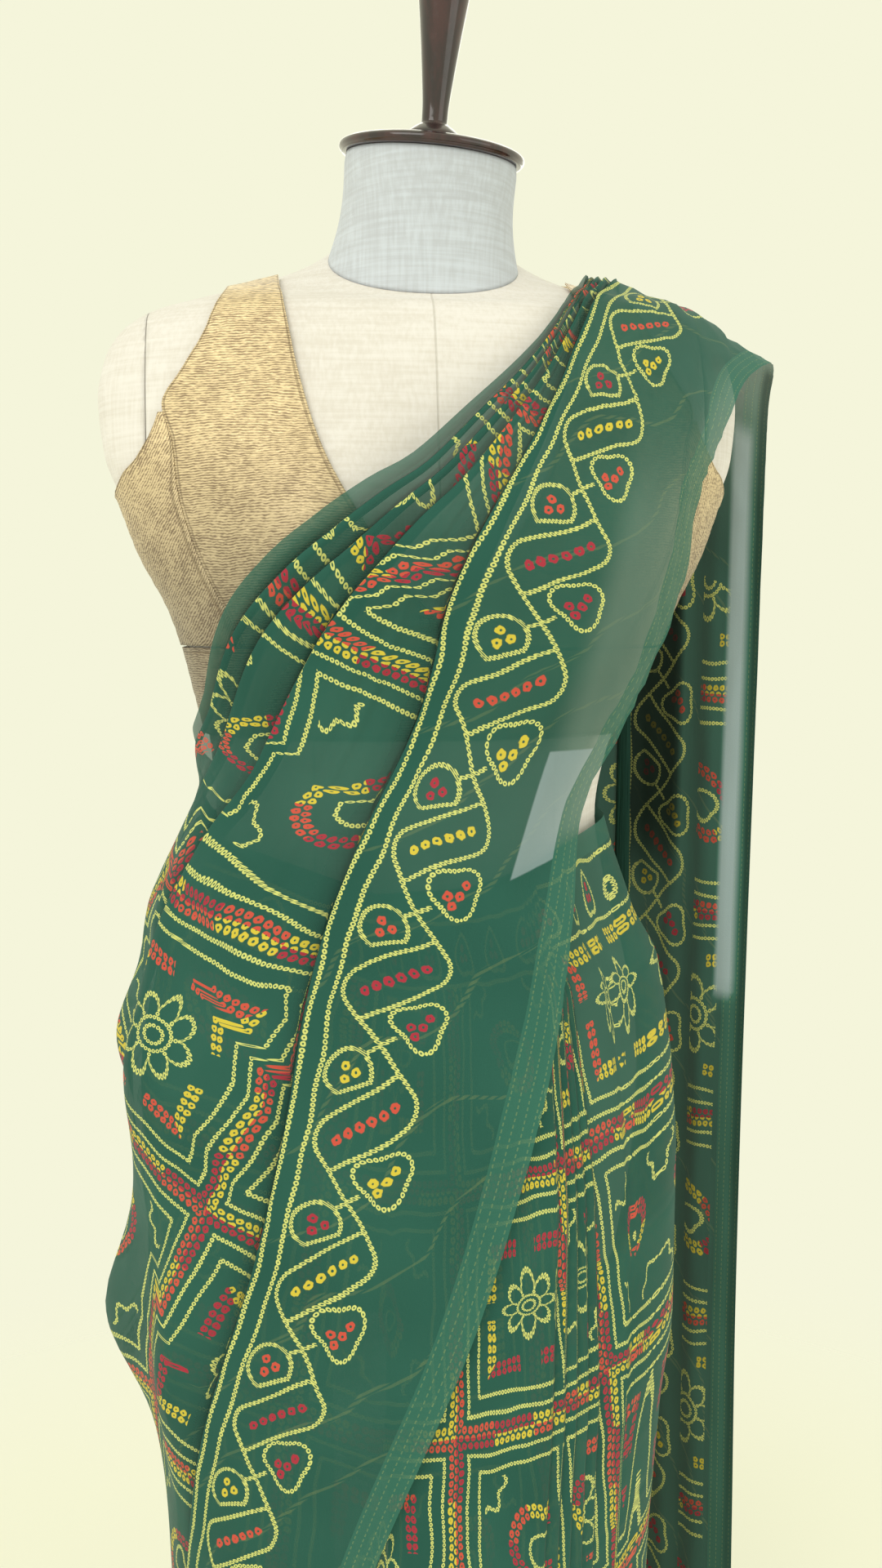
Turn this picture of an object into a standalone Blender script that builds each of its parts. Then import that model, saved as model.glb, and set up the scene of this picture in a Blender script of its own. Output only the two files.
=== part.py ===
"""A printed georgette sari, draped and pinned on a dress form that wears a sleeveless blouse.

Units are metres and +Z is up. The form faces -Y, +X is to the right of someone who looks at its front,
and the origin is the middle of the stand's foot, on the floor.

The sari is one sheet. It starts under its own last turn at the form's left back, comes round to the
front, is laid in knife pleats there, goes round the hips once more, crosses the front as a fan of
pleats, passes over the shoulder and hangs down behind.
"""

import math

import bmesh
import bpy
import numpy as np
from mathutils import Matrix, Vector

# Gaps and thicknesses
GAP = 0.0003
CLOTH = 0.0010
FRONT_CLEAR, SIDE_CLEAR, BACK_CLEAR, BAND_CLEAR = 0.0024, 0.0025, 0.0018, 0.0020
BLOUSE_CLOTH = 0.0012

# Sections of the form from the bottom of the trunk to the base of the neck.
# z, half width, depth to the front, depth to the back, slope of the section down to the front
FORM_SECTIONS = (
    (0.728, 0.152, 0.104, 0.112, 0.00),
    (0.800, 0.163, 0.110, 0.121, 0.00),
    (0.870, 0.166, 0.112, 0.124, 0.00),
    (0.940, 0.156, 0.106, 0.112, 0.00),
    (1.000, 0.140, 0.096, 0.090, 0.00),
    (1.045, 0.133, 0.090, 0.078, 0.00),
    (1.090, 0.138, 0.093, 0.078, 0.00),
    (1.140, 0.154, 0.101, 0.084, 0.00),
    (1.190, 0.172, 0.106, 0.092, 0.00),
    (1.225, 0.190, 0.106, 0.097, 0.00),
    (1.255, 0.201, 0.103, 0.099, 0.00),
    (1.290, 0.214, 0.096, 0.098, 0.00),
    (1.325, 0.217, 0.087, 0.093, 0.00),
    (1.350, 0.212, 0.079, 0.087, 0.00),
    (1.368, 0.201, 0.072, 0.080, 0.03),
    (1.382, 0.181, 0.066, 0.074, 0.10),
    (1.393, 0.148, 0.061, 0.068, 0.20),
    (1.402, 0.112, 0.057, 0.062, 0.33),
    (1.410, 0.083, 0.054, 0.056, 0.47),
    (1.418, 0.064, 0.051, 0.052, 0.60),
)
SECTION_POWER = 2.2
FORM_AROUND = 48
BUST_X, BUST_Z = 0.082, 1.222
BUST_SPREAD, BUST_RISE = 0.058, 0.052
BUST_FORWARD = 0.030
ARM_SEAM_X, ARM_SEAM_Z = 0.181, 1.236
HIP_SHIFT, HIP_SHIFT_LOW, HIP_SHIFT_HIGH = -0.012, 1.050, 1.190

# Neck, its wooden cap and the turned handle
NECK_BASE = (0.064, 0.051, 0.0515)
NECK_TOP_RADIUS = 0.0565
NECK_LEAN_SIDE, NECK_LEAN_FRONT = 4.0, 9.0
NECK_TOP = Vector((0.0045, -0.010, 1.4815))
CAP_PROFILE = ((0.0, 0.0), (0.0560, 0.0), (0.0600, 0.0012), (0.0615, 0.0036), (0.0598, 0.0062),
               (0.0520, 0.0080), (0.0, 0.0086))
HANDLE_PROFILE = ((0.0, 0.0), (0.0170, 0.0), (0.0182, 0.0030), (0.0176, 0.0070), (0.0125, 0.0112),
                  (0.0090, 0.0135), (0.0086, 0.0180), (0.0093, 0.0300), (0.0130, 0.0620), (0.0168, 0.0900),
                  (0.0184, 0.1030), (0.0176, 0.1150), (0.0130, 0.1260), (0.0070, 0.1315), (0.0, 0.1330))

# Stand under the form
FOOT_PROFILE = ((0.0, 0.0), (0.1600, 0.0), (0.1650, 0.0030), (0.1640, 0.0090), (0.1500, 0.0130),
                (0.0600, 0.0200), (0.0300, 0.0280), (0.0260, 0.0500), (0.0, 0.0500))
PLATE_PROFILE = ((0.0, 0.0), (0.0800, 0.0), (0.0830, 0.0020), (0.0830, 0.0080), (0.0, 0.0080))
POLE_RADIUS = 0.0160

# Blouse, on the side that shows. x and z of points on the form's front, from the shoulder down
NECKLINE = ((-0.0970, 1.4060), (-0.0958, 1.4000), (-0.0949, 1.3950), (-0.0931, 1.3775), (-0.0880, 1.3444),
            (-0.0824, 1.3195), (-0.0750, 1.2927), (-0.0672, 1.2716), (-0.0571, 1.2510), (-0.0270, 1.2050),
            (-0.0012, 1.1720))
ARMHOLE = ((-0.1300, 1.3975), (-0.1314, 1.3930), (-0.1343, 1.3837), (-0.1385, 1.3700), (-0.1418, 1.3593),
           (-0.1566, 1.3337), (-0.1687, 1.3134), (-0.1736, 1.3011), (-0.1855, 1.2820), (-0.1953, 1.2737),
           (-0.2060, 1.2560))
PRINCESS_SEAM = ((-0.1666, 1.3123), (-0.1621, 1.2903), (-0.1586, 1.2602), (-0.1498, 1.2299),
                 (-0.1391, 1.2049), (-0.1280, 1.1833), (-0.1190, 1.1640))
BAND_TOP, BAND_BOTTOM = 1.1630, 1.1050
BACK_HEIGHTS = (1.4020, 1.3975, 1.3955, 1.3930, 1.3880, 1.3820, 1.3680, 1.3500, 1.3250, 1.2900,
                1.2780, 1.2700, 1.2640, 1.2590, 1.2550, 1.2250, 1.1900)

# The sari's cloth
HEM_Z, WAIST_Z, WAIST_DIP = 0.0110, 1.0450, 0.0350
# Sections of the body that the cloth makes as it hangs: z, half width, middle in x, front, back
DRAPE_SECTIONS = (
    (0.000, 0.204, -0.004, 0.196, 0.190),
    (0.250, 0.188, -0.006, 0.168, 0.168),
    (0.460, 0.178, -0.007, 0.150, 0.152),
    (0.610, 0.185, -0.006, 0.149, 0.149),
    (0.680, 0.195, -0.008, 0.148, 0.146),
    (0.800, 0.195, -0.008, 0.142, 0.142),
    (0.860, 0.194, -0.011, 0.137, 0.139),
    (0.900, 0.190, -0.012, 0.133, 0.134),
    (0.940, 0.182, -0.011, 0.127, 0.126),
    (0.980, 0.172, -0.021, 0.120, 0.112),
    (1.030, 0.153, -0.019, 0.113, 0.096),
    (1.065, 0.142, -0.014, 0.113, 0.092),
    (1.120, 0.154, -0.003, 0.124, 0.094),
    (1.180, 0.180, 0.000, 0.140, 0.102),
    (1.230, 0.203, 0.000, 0.146, 0.108),
    (1.270, 0.214, 0.000, 0.134, 0.110),
    (1.320, 0.226, 0.000, 0.110, 0.106),
    (1.370, 0.206, 0.000, 0.084, 0.094),
)

# The last turn, from the right hip to the chest. Angles in degrees round the body, 0 at the front and
# 90 on the right, heights in metres: lower selvage, border fold, upper selvage. The columns f1 to f3
# place the other folds between border fold and upper selvage, and depth is the share of their full depth.
LAST_TURN = (
    # low a, low z, fold a, fold z, top a, top z,   f1,   f2,   f3, depth
    (-246, 0.011, -248, 0.165, -252, 1.045, 0.45, 0.68, 0.88, 0.00),
    (-178, 0.011, -196, 0.168, -236, 1.045, 0.45, 0.70, 0.89, 0.10),
    (-130, 0.012, -155, 0.170, -216, 1.046, 0.45, 0.72, 0.90, 0.22),
    (-92, 0.040, -120, 0.180, -196, 1.048, 0.45, 0.73, 0.91, 0.36),
    (-60, 0.150, -93, 0.250, -176, 1.050, 0.45, 0.74, 0.92, 0.52),
    (-38, 0.320, -72, 0.400, -158, 1.053, 0.45, 0.75, 0.92, 0.68),
    (-22, 0.470, -57, 0.540, -144, 1.058, 0.46, 0.76, 0.93, 0.80),
    (-10, 0.595, -43, 0.660, -130, 1.064, 0.47, 0.77, 0.93, 0.90),
    (3, 0.720, -30, 0.784, -115, 1.074, 0.48, 0.77, 0.93, 1.00),
    (11, 0.810, -23, 0.870, -103, 1.086, 0.52, 0.77, 0.94, 1.00),
    (21, 0.915, -17, 0.968, -88, 1.104, 0.56, 0.79, 0.94, 1.00),
    (33, 0.990, -11, 1.042, -71, 1.124, 0.58, 0.81, 0.94, 1.00),
    (48, 1.055, -5, 1.110, -50, 1.172, 0.56, 0.80, 0.92, 1.00),
    (58, 1.100, -2, 1.149, -36, 1.205, 0.54, 0.76, 0.89, 1.00),
    (62, 1.138, 0, 1.189, -21, 1.238, 0.50, 0.70, 0.86, 1.00),
    (58, 1.176, 3, 1.222, -11, 1.262, 0.47, 0.67, 0.84, 1.00),
    (53, 1.216, 7, 1.252, -4, 1.278, 0.43, 0.65, 0.83, 1.00),
    (51, 1.258, 12, 1.287, 3, 1.309, 0.40, 0.63, 0.83, 1.00),
    (56, 1.298, 17, 1.325, 11, 1.340, 0.38, 0.62, 0.82, 1.00),
)
FOLD_PLACES = (0.36, 0.62, 0.82)
FOLD_DEPTHS = (0.0038, 0.0036, 0.0034, 0.0030)
FOLD_RAMP = (0.0060, 0.0010)
# Over the shoulder and down behind: x, y and z of the lower selvage, the border fold and the upper selvage
PALLU = (
    (0.208, -0.052, 1.336, 0.098, -0.064, 1.372, 0.082, -0.064, 1.376),
    (0.236, -0.022, 1.355, 0.123, -0.030, 1.404, 0.104, -0.030, 1.406),
    (0.251, 0.010, 1.354, 0.136, 0.010, 1.409, 0.113, 0.012, 1.412),
    (0.259, 0.040, 1.335, 0.148, 0.062, 1.394, 0.117, 0.060, 1.402),
    (0.266, 0.062, 1.282, 0.164, 0.116, 1.332, 0.112, 0.106, 1.350),
    (0.272, 0.082, 1.170, 0.176, 0.144, 1.215, 0.104, 0.130, 1.230),
    (0.275, 0.096, 0.985, 0.182, 0.166, 1.020, 0.098, 0.152, 1.030),
    (0.276, 0.104, 0.780, 0.184, 0.180, 0.800, 0.094, 0.172, 0.800),
    (0.278, 0.109, 0.580, 0.184, 0.187, 0.580, 0.092, 0.178, 0.570),
    (0.281, 0.111, 0.400, 0.182, 0.190, 0.380, 0.092, 0.180, 0.360),
    (0.283, 0.112, 0.270, 0.180, 0.191, 0.240, 0.092, 0.181, 0.200),
)
# How far the middle of the cloth stays outside the form: its folds' outer faces, and every point
CARRIER_CLEAR, SHEET_CLEAR, FORM_NEAR = 0.0098, 0.0058, 0.0300

# The first turn's hidden end and the pleats laid at the front
FIRST_TURN_START, FIRST_TURN_END = -162.0, -58.0
PLEATS = 5
PLEAT_WIDTH_WAIST, PLEAT_WIDTH_HEM = 0.080, 0.105
PLEAT_RIGHT_WAIST, PLEAT_RIGHT_HEM = 0.046, 0.050
PLEAT_STEP_WAIST, PLEAT_STEP_HEM = 0.004, 0.022
SKIRT_LEAVES_PLEATS = (0.085, 0.160)
PLEAT_LIFT_WAIST, PLEAT_LIFT_HEM = 0.0165, 0.0300
PLEAT_SPANS = 4
TURN_GAP = 0.0080
# Where the skirt leaves the pleats for the last turn: angle at the waist, at the hem, share of the gap
SKIRT_END = ((54.0, 56.0, 0.9), (70.0, 74.0, 0.6), (90.0, 93.0, 0.2))
# Swags at the left hip: angle, height, rise, spread in degrees and in height
SWAGS = ((-84.0, 0.892, 0.018, 30.0, 0.024), (-82.0, 0.698, 0.025, 34.0, 0.028))

# How finely the sheet is divided
BORDER_SPANS = 6
STRIP_SPANS = (5, 3, 3, 3)
COARSE = 3
PANEL_STEP, SHOULDER_STEP, FALL_STEP = 0.045, 0.018, 0.075
ACROSS, BORDER_ACROSS = 16, 5


def clear_scene():
    """Empties the file of objects, so that the part stands alone."""
    for thing in list(bpy.data.objects):
        bpy.data.objects.remove(thing, do_unlink=True)


def make_material(name, colour, roughness, metallic=0.0):
    """A plain principled finish in the piece's own colour."""
    material = bpy.data.materials.new(name)
    material.use_nodes = True
    shader = material.node_tree.nodes["Principled BSDF"]
    shader.inputs["Base Color"].default_value = (*colour, 1.0)
    shader.inputs["Roughness"].default_value = roughness
    shader.inputs["Metallic"].default_value = metallic
    return material


def add_object(name, mesh_data, material):
    """Turns a bmesh into a named object with its finish, its faces pointing out."""
    mesh_data.normal_update()
    bmesh.ops.recalc_face_normals(mesh_data, faces=mesh_data.faces)
    mesh = bpy.data.meshes.new(name)
    mesh_data.to_mesh(mesh)
    mesh_data.free()
    mesh.materials.append(material)
    thing = bpy.data.objects.new(name, mesh)
    bpy.context.scene.collection.objects.link(thing)
    return thing


def section_row(table, z):
    """The columns of a section table at height z."""
    heights = [row[0] for row in table]
    return [float(np.interp(z, heights, [row[k] for row in table])) for k in range(1, len(table[0]))]


def smooth_step(low, high, value):
    """A soft step from 0 at low to 1 at high."""
    t = min(1.0, max(0.0, (value - low) / (high - low)))
    return t * t * (3.0 - 2.0 * t)


def rounded(angle):
    """Sine and cosine of an angle, squared off to the sections' power."""
    sine, cosine = math.sin(angle), math.cos(angle)
    power = 2.0 / SECTION_POWER
    return math.copysign(abs(sine) ** power, sine), math.copysign(abs(cosine) ** power, cosine)


def form_point(angle, z):
    """A point of the form's skin. The angle runs from the front, 0, to the right, a quarter turn."""
    half_width, front, back, slope = section_row(FORM_SECTIONS, z)
    across, along = rounded(angle)
    x = half_width * across
    y = -along * (front if along > 0 else back)
    shift = HIP_SHIFT * (1.0 - smooth_step(HIP_SHIFT_LOW, HIP_SHIFT_HIGH, z))
    if along > 0:
        side = math.exp(-((abs(x) - BUST_X) / BUST_SPREAD) ** 2)
        y -= BUST_FORWARD * side * math.exp(-((z - BUST_Z) / BUST_RISE) ** 2) * min(1.0, 3.0 * along)
    return Vector((x + shift, y, z + slope * y))


def skin_rows():
    """The rings of points that the trunk's faces are drawn between."""
    angles = [2.0 * math.pi * i / FORM_AROUND for i in range(FORM_AROUND)]
    return [[form_point(a, row[0]) for a in angles] for row in FORM_SECTIONS]


def skin_point(angle, z):
    """A point of the trunk's faces, between the corners of the face it lies in."""
    heights = [row[0] for row in FORM_SECTIONS]
    place = float(np.interp(z, heights, range(len(heights))))
    low = min(int(place), len(heights) - 2)
    turn = (angle / (2.0 * math.pi)) % 1.0 * FORM_AROUND
    first = int(turn) % FORM_AROUND
    second = (first + 1) % FORM_AROUND
    under = SKIN[low][first].lerp(SKIN[low][second], turn - int(turn))
    over = SKIN[low + 1][first].lerp(SKIN[low + 1][second], turn - int(turn))
    return under.lerp(over, place - low)


def skin_normal(angle, z):
    """The outward direction of the form's skin."""
    step_angle, step_z = 0.01, 0.0015
    along = form_point(angle + step_angle, z) - form_point(angle - step_angle, z)
    low, high = max(z - step_z, FORM_SECTIONS[0][0]), min(z + step_z, FORM_SECTIONS[-1][0])
    up = form_point(angle, high) - form_point(angle, low)
    return along.cross(up).normalized()


def form_offset(angle, z, distance):
    """A point at a distance outside the trunk's faces."""
    return skin_point(angle, z) + skin_normal(angle, z) * distance


def form_angle(x, z, behind=False):
    """The angle at which the form is x wide of its middle, in front or behind."""
    half_width = section_row(FORM_SECTIONS, z)[0]
    ratio = min(1.0, abs(x) / half_width)
    angle = math.asin(ratio ** (SECTION_POWER / 2.0))
    if behind:
        angle = math.pi - angle
    return math.copysign(angle, x)


def loft(rings, closed_ends=True):
    """A skin through rings of points, with flat ends."""
    skin = bmesh.new()
    rows = [[skin.verts.new(point) for point in ring] for ring in rings]
    count = len(rows[0])
    for low, high in zip(rows, rows[1:]):
        for i in range(count):
            skin.faces.new((low[i], low[(i + 1) % count], high[(i + 1) % count], high[i]))
    if closed_ends:
        skin.faces.new(rows[0][::-1])
        skin.faces.new(rows[-1])
    return skin


def turned(profile, place, sides):
    """A solid turned about +Z from pairs of radius and height, then put in place."""
    solid = bmesh.new()
    rings = []
    for radius, height in profile:
        if radius == 0.0:
            rings.append([solid.verts.new((0.0, 0.0, height))])
            continue
        angles = [2.0 * math.pi * i / sides for i in range(sides)]
        rings.append([solid.verts.new((radius * math.cos(a), radius * math.sin(a), height)) for a in angles])
    for low, high in zip(rings, rings[1:]):
        for i in range(sides):
            j = (i + 1) % sides
            corners = [low[i % len(low)], low[j % len(low)], high[j % len(high)], high[i % len(high)]]
            unique = list(dict.fromkeys(corners))
            solid.faces.new(unique)
    bmesh.ops.transform(solid, matrix=place, verts=solid.verts)
    return solid


def build_trunk(linen):
    """The padded trunk and its two arm caps, which meet it at flat seams."""
    trunk = add_object("form_trunk", loft(SKIN), linen)
    for side, name in ((-1, "arm_cap_left"), (1, "arm_cap_right")):
        cap = add_object(name, loft(SKIN), linen)
        cut = arm_block("cut_" + name, side, GAP)
        keep = arm_block("keep_" + name, side, 0.0)
        add_boolean(trunk, cut, "DIFFERENCE")
        add_boolean(cap, keep, "INTERSECT")


def arm_block(name, side, grow):
    """The block of space that an arm cap takes up outside its seam."""
    block = bmesh.new()
    bmesh.ops.create_cube(block, size=1.0)
    low = Vector((ARM_SEAM_X - grow, -0.2, ARM_SEAM_Z - grow))
    high = Vector((0.30, 0.2, 1.45))
    for corner in block.verts:
        picked = [high[k] if corner.co[k] > 0 else low[k] for k in range(3)]
        corner.co = (side * picked[0], picked[1], picked[2])
    cutter = add_object(name, block, bpy.data.materials["linen"])
    cutter.hide_render = True
    cutter.display_type = "WIRE"
    return cutter


def add_boolean(thing, cutter, operation):
    """A live exact boolean on an object."""
    modifier = thing.modifiers.new(operation.lower() + "_" + cutter.name, "BOOLEAN")
    modifier.operation = operation
    modifier.object = cutter
    modifier.solver = "EXACT"


def lean():
    """The turn that tips the neck's top to the side and forward."""
    side = Matrix.Rotation(math.radians(NECK_LEAN_SIDE), 4, "Y")
    front = Matrix.Rotation(math.radians(NECK_LEAN_FRONT), 4, "X")
    return side @ front


def build_neck(linen, wood):
    """The neck, the wooden cap on it and the turned handle."""
    half_width, front, back = NECK_BASE
    slope = FORM_SECTIONS[-1][4]
    base_z = FORM_SECTIONS[-1][0] + 1.2 * GAP
    count, steps = 32, 5
    tip = lean()
    rings = []
    for step in range(steps + 1):
        share = step / steps
        waist = 1.0 - 0.05 * math.sin(math.pi * min(1.0, share * 1.1))
        ring = []
        for i in range(count):
            angle = 2.0 * math.pi * i / count
            across, along = rounded(angle)
            low_y = -along * (front if along > 0 else back)
            low = Vector((half_width * across, low_y, base_z + slope * low_y))
            flat = Vector((NECK_TOP_RADIUS * math.sin(angle), -NECK_TOP_RADIUS * math.cos(angle), 0.0))
            high = NECK_TOP + tip @ flat
            point = low.lerp(high, share)
            middle = Vector((0, 0, base_z)).lerp(NECK_TOP, share)
            x = middle.x + (point.x - middle.x) * waist
            y = middle.y + (point.y - middle.y) * waist
            ring.append(Vector((x, y, point.z)))
        rings.append(ring)
    add_object("form_neck", loft(rings), linen)
    on_neck = Matrix.Translation(NECK_TOP) @ tip @ Matrix.Translation((0, 0, GAP))
    add_object("neck_cap", turned(CAP_PROFILE, on_neck, 32), wood)
    on_cap = on_neck @ Matrix.Translation((0, 0, CAP_PROFILE[-1][1] + GAP))
    add_object("handle", turned(HANDLE_PROFILE, on_cap, 16), wood)


def build_stand(wood, metal):
    """The plate under the trunk, the pole and the round foot."""
    plate_z = FORM_SECTIONS[0][0] - GAP - PLATE_PROFILE[-1][1]
    add_object("trunk_plate", turned(PLATE_PROFILE, Matrix.Translation((0, 0, plate_z)), 20), wood)
    foot_top = FOOT_PROFILE[-1][1]
    pole_height = plate_z - foot_top - 2 * GAP
    pole = ((0.0, 0.0), (POLE_RADIUS, 0.0), (POLE_RADIUS, pole_height), (0.0, pole_height))
    add_object("pole", turned(pole, Matrix.Translation((0, 0, foot_top + GAP)), 20), metal)
    add_object("foot", turned(FOOT_PROFILE, Matrix.Identity(4), 32), metal)


def along_line(line, share):
    """Angle and height at a share of the way down a line of x and z pairs on the form's front."""
    heights = np.array([p[1] for p in line])
    angles = [form_angle(x, z) for x, z in line]
    z = heights[0] + (heights[-1] - heights[0]) * share
    return float(np.interp(-z, -heights, angles)), z


def shell(rows, clear):
    """A closed shell from rows of angle and height pairs, its inside clear of the form's corners."""
    inner = [[form_offset(a, z, clear) for a, z in row] for row in rows]
    outer = [[form_offset(a, z, clear + BLOUSE_CLOTH) for a, z in row] for row in rows]
    return plate(outer, inner)


def plate(outer, inner):
    """A closed plate from two matching grids of points."""
    solid = bmesh.new()
    front = [[solid.verts.new(p) for p in row] for row in outer]
    back = [[solid.verts.new(p) for p in row] for row in inner]
    tall, wide = len(outer), len(outer[0])
    for i in range(tall - 1):
        for j in range(wide - 1):
            solid.faces.new((front[i][j], front[i][j + 1], front[i + 1][j + 1], front[i + 1][j]))
            solid.faces.new((back[i][j], back[i + 1][j], back[i + 1][j + 1], back[i][j + 1]))
    rim = [(0, j) for j in range(wide)] + [(i, wide - 1) for i in range(1, tall)]
    rim += [(tall - 1, j) for j in range(wide - 2, -1, -1)] + [(i, 0) for i in range(tall - 2, 0, -1)]
    for (i, j), (k, m) in zip(rim, rim[1:] + rim[:1]):
        solid.faces.new((front[i][j], back[i][j], back[k][m], front[k][m]))
    return solid


def blouse_rows(inner_line, outer_line, rows, columns, side):
    """Rows of angle and height pairs between two lines on the form's front."""
    grid = []
    for i in range(rows + 1):
        share = i / rows
        a0, z0 = along_line(inner_line, share)
        a1, z1 = along_line(outer_line, share)
        row = []
        for j in range(columns + 1):
            t = j / columns
            row.append((side * (a0 + (a1 - a0) * t), z0 + (z1 - z0) * t))
        grid.append(row)
    return grid


def build_blouse(lurex):
    """The blouse: two front panels, two side panels, a back and a band under the bust."""
    edge = 0.0016
    seam_top = PRINCESS_SEAM[0][1]
    outer = [p for p in ARMHOLE if p[1] >= seam_top] + list(PRINCESS_SEAM[1:])
    inner = list(NECKLINE) + [(-0.0012, BAND_TOP + edge)]
    outer[-1] = (PRINCESS_SEAM[-1][0], BAND_TOP + edge)
    for side, name in ((1, "left"), (-1, "right")):
        add_object("blouse_front_" + name, shell(blouse_rows(inner, outer, 16, 8, side), FRONT_CLEAR), lurex)
    seam = [(x - edge, z) for x, z in PRINCESS_SEAM]
    seam[0], seam[-1] = (seam[0][0] - 0.0008, seam[0][1] - 0.004), (seam[-1][0], BAND_TOP + edge)
    under = [(x, z) for x, z in ARMHOLE if z < seam_top - 0.002]
    wide = section_row(FORM_SECTIONS, BAND_TOP)[0]
    under = [(-0.1712, seam_top - 0.004)] + under
    under += [(-0.2, 1.2200), (-0.1880, 1.1950), (-wide, BAND_TOP + edge)]
    for side, name in ((1, "left"), (-1, "right")):
        add_object("blouse_side_" + name, shell(blouse_rows(seam, under, 18, 4, side), SIDE_CLEAR), lurex)
    add_object("blouse_back", shell(back_rows(edge), BACK_CLEAR), lurex)
    band = []
    for z in np.linspace(BAND_TOP, BAND_BOTTOM, 4):
        steps = [-math.pi + 2.0 * math.pi * i / FORM_AROUND for i in range(FORM_AROUND + 1)]
        steps[0], steps[-1] = steps[0] + 0.006, steps[-1] - 0.006
        band.append([(a, float(z)) for a in steps])
    add_object("blouse_band", shell(band, BAND_CLEAR), lurex)


def back_rows(edge):
    """Rows of the blouse's back, from the shoulder line down to the band."""
    armhole_heights = [p[1] for p in ARMHOLE][::-1]
    armhole_angles = [abs(form_angle(x, z, behind=True)) for x, z in ARMHOLE][::-1]
    grid = []
    for z in BACK_HEIGHTS + (BAND_TOP + edge,):
        start = math.pi / 2.0 + 0.02
        if armhole_heights[0] <= z <= armhole_heights[-1]:
            start = max(start, float(np.interp(z, armhole_heights, armhole_angles)))
        grid.append([(a, z) for a in np.linspace(start, 2.0 * math.pi - start, 25)])
    return grid


def drape_point(angle, z, out):
    """A point of the draped body, out metres outside its sections. The angle is in degrees."""
    half_width, middle, front, back = section_row(DRAPE_SECTIONS, z)
    across, along = rounded(math.radians(angle))
    depth = front if along > 0 else back
    return np.array((middle + (half_width + out) * across, -(depth + out) * along, z))


def pleat_lift(z):
    """The thickness of the stack of pleats, which is looser at the hem."""
    return PLEAT_LIFT_HEM + (PLEAT_LIFT_WAIST - PLEAT_LIFT_HEM) * smooth_step(HEM_Z, 0.75, z)


def stack_share(angle):
    """The share of the stack's full height at an angle in degrees round the front."""
    turn = (angle + 180.0) % 360.0 - 180.0
    return smooth_step(-105.0, -32.0, turn) * (1.0 - smooth_step(24.0, 56.0, turn))


def over_pleats(angle, z):
    """How far the last turn is lifted where it lies over the pleats and the first turn."""
    below_waist = 1.0 - smooth_step(WAIST_Z + 0.004, WAIST_Z + 0.060, z)
    lift = pleat_lift(z) * stack_share(angle) * below_waist
    for swag_angle, swag_z, rise, spread, spread_z in SWAGS:
        lift += rise * math.exp(-((angle - swag_angle) / spread) ** 2 - ((z - swag_z) / spread_z) ** 2)
    return lift


def waist_height(angle):
    """The height of the skirt's top edge, which dips at the front."""
    turn = (angle + 180.0) % 360.0 - 180.0
    return WAIST_Z - WAIST_DIP * math.exp(-((turn - 4.0) / 38.0) ** 2)


def catmull(points, t):
    """A smooth curve through rows of numbers, at a row number t that may lie between rows."""
    last = len(points) - 1
    i = min(int(t), last - 1)
    f = t - i
    p1, p2 = points[i], points[i + 1]
    p0 = points[i - 1] if i > 0 else 2 * p1 - p2
    p3 = points[i + 2] if i + 2 <= last else 2 * p2 - p1
    return 0.5 * (2 * p1 + (p2 - p0) * f + (2 * p0 - 5 * p1 + 4 * p2 - p3) * f * f
                  + (3 * p1 - p0 - 3 * p2 + p3) * f ** 3)


def carrier_rows():
    """Rows of points across the last turn, from the lower to the upper selvage, one for each table row."""
    rows, folds = [], []
    for row in LAST_TURN:
        low_a, low_z, fold_a, fold_z, top_a, top_z = row[:6]
        points = []
        for j in range(BORDER_ACROSS):
            t = j / BORDER_ACROSS
            points.append((low_a + (fold_a - low_a) * t, low_z + (fold_z - low_z) * t))
        for j in range(ACROSS - BORDER_ACROSS + 1):
            t = j / (ACROSS - BORDER_ACROSS)
            points.append((fold_a + (top_a - fold_a) * t, fold_z + (top_z - fold_z) * t))
        rows.append(np.array([drape_point(a, z, over_pleats(a, z)) for a, z in points]))
        folds.append(np.array(row[6:]))
    for row in PALLU:
        low, fold, top = (np.array(row[k:k + 3]) for k in (0, 3, 6))
        points = [low + (fold - low) * j / BORDER_ACROSS for j in range(BORDER_ACROSS)]
        rest = ACROSS - BORDER_ACROSS
        points += [fold + (top - fold) * j / rest for j in range(rest + 1)]
        rows.append(np.array(points))
        folds.append(np.array(FOLD_PLACES + (1.0,)))
    return rows, folds


def fold_section(row, places, depth_share):
    """The section across the cloth at one station: distance across the carrier, depth below it.

    At each fold the cloth steps in by the fold's depth, then comes out again up to the next fold.
    """
    steps = np.linalg.norm(np.diff(row, axis=0), axis=1)
    run = np.concatenate(([0.0], np.cumsum(steps)))
    border = run[BORDER_ACROSS]
    edges = [border] + [border + (run[-1] - border) * p for p in places]
    ends = edges[1:] + [run[-1]]
    path = [(border * j / BORDER_SPANS, 0.0) for j in range(BORDER_SPANS + 1)]
    for edge, end, full, spans in zip(edges, ends, FOLD_DEPTHS, STRIP_SPANS):
        ramp = FOLD_RAMP[0] + (FOLD_RAMP[1] - FOLD_RAMP[0]) * min(1.0, 1.4 * depth_share)
        ramp = min(ramp, 0.2 * (end - edge))
        deep = min(full * depth_share, 0.45 * (end - edge))
        for j in range(spans + 1):
            t = j / spans
            path.append((edge + ramp + (end - edge - ramp) * t, deep * (1.0 - t) ** 1.4))
    return run, path


def form_samples():
    """Points all over the form's skin and their outward directions."""
    points, normals = [], []
    for z in np.linspace(0.98, FORM_SECTIONS[-1][0], 56):
        for i in range(72):
            angle = 2.0 * math.pi * i / 72
            points.append(form_point(angle, float(z)))
            normals.append(skin_normal(angle, float(z)))
    return np.array(points), np.array(normals)


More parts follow.
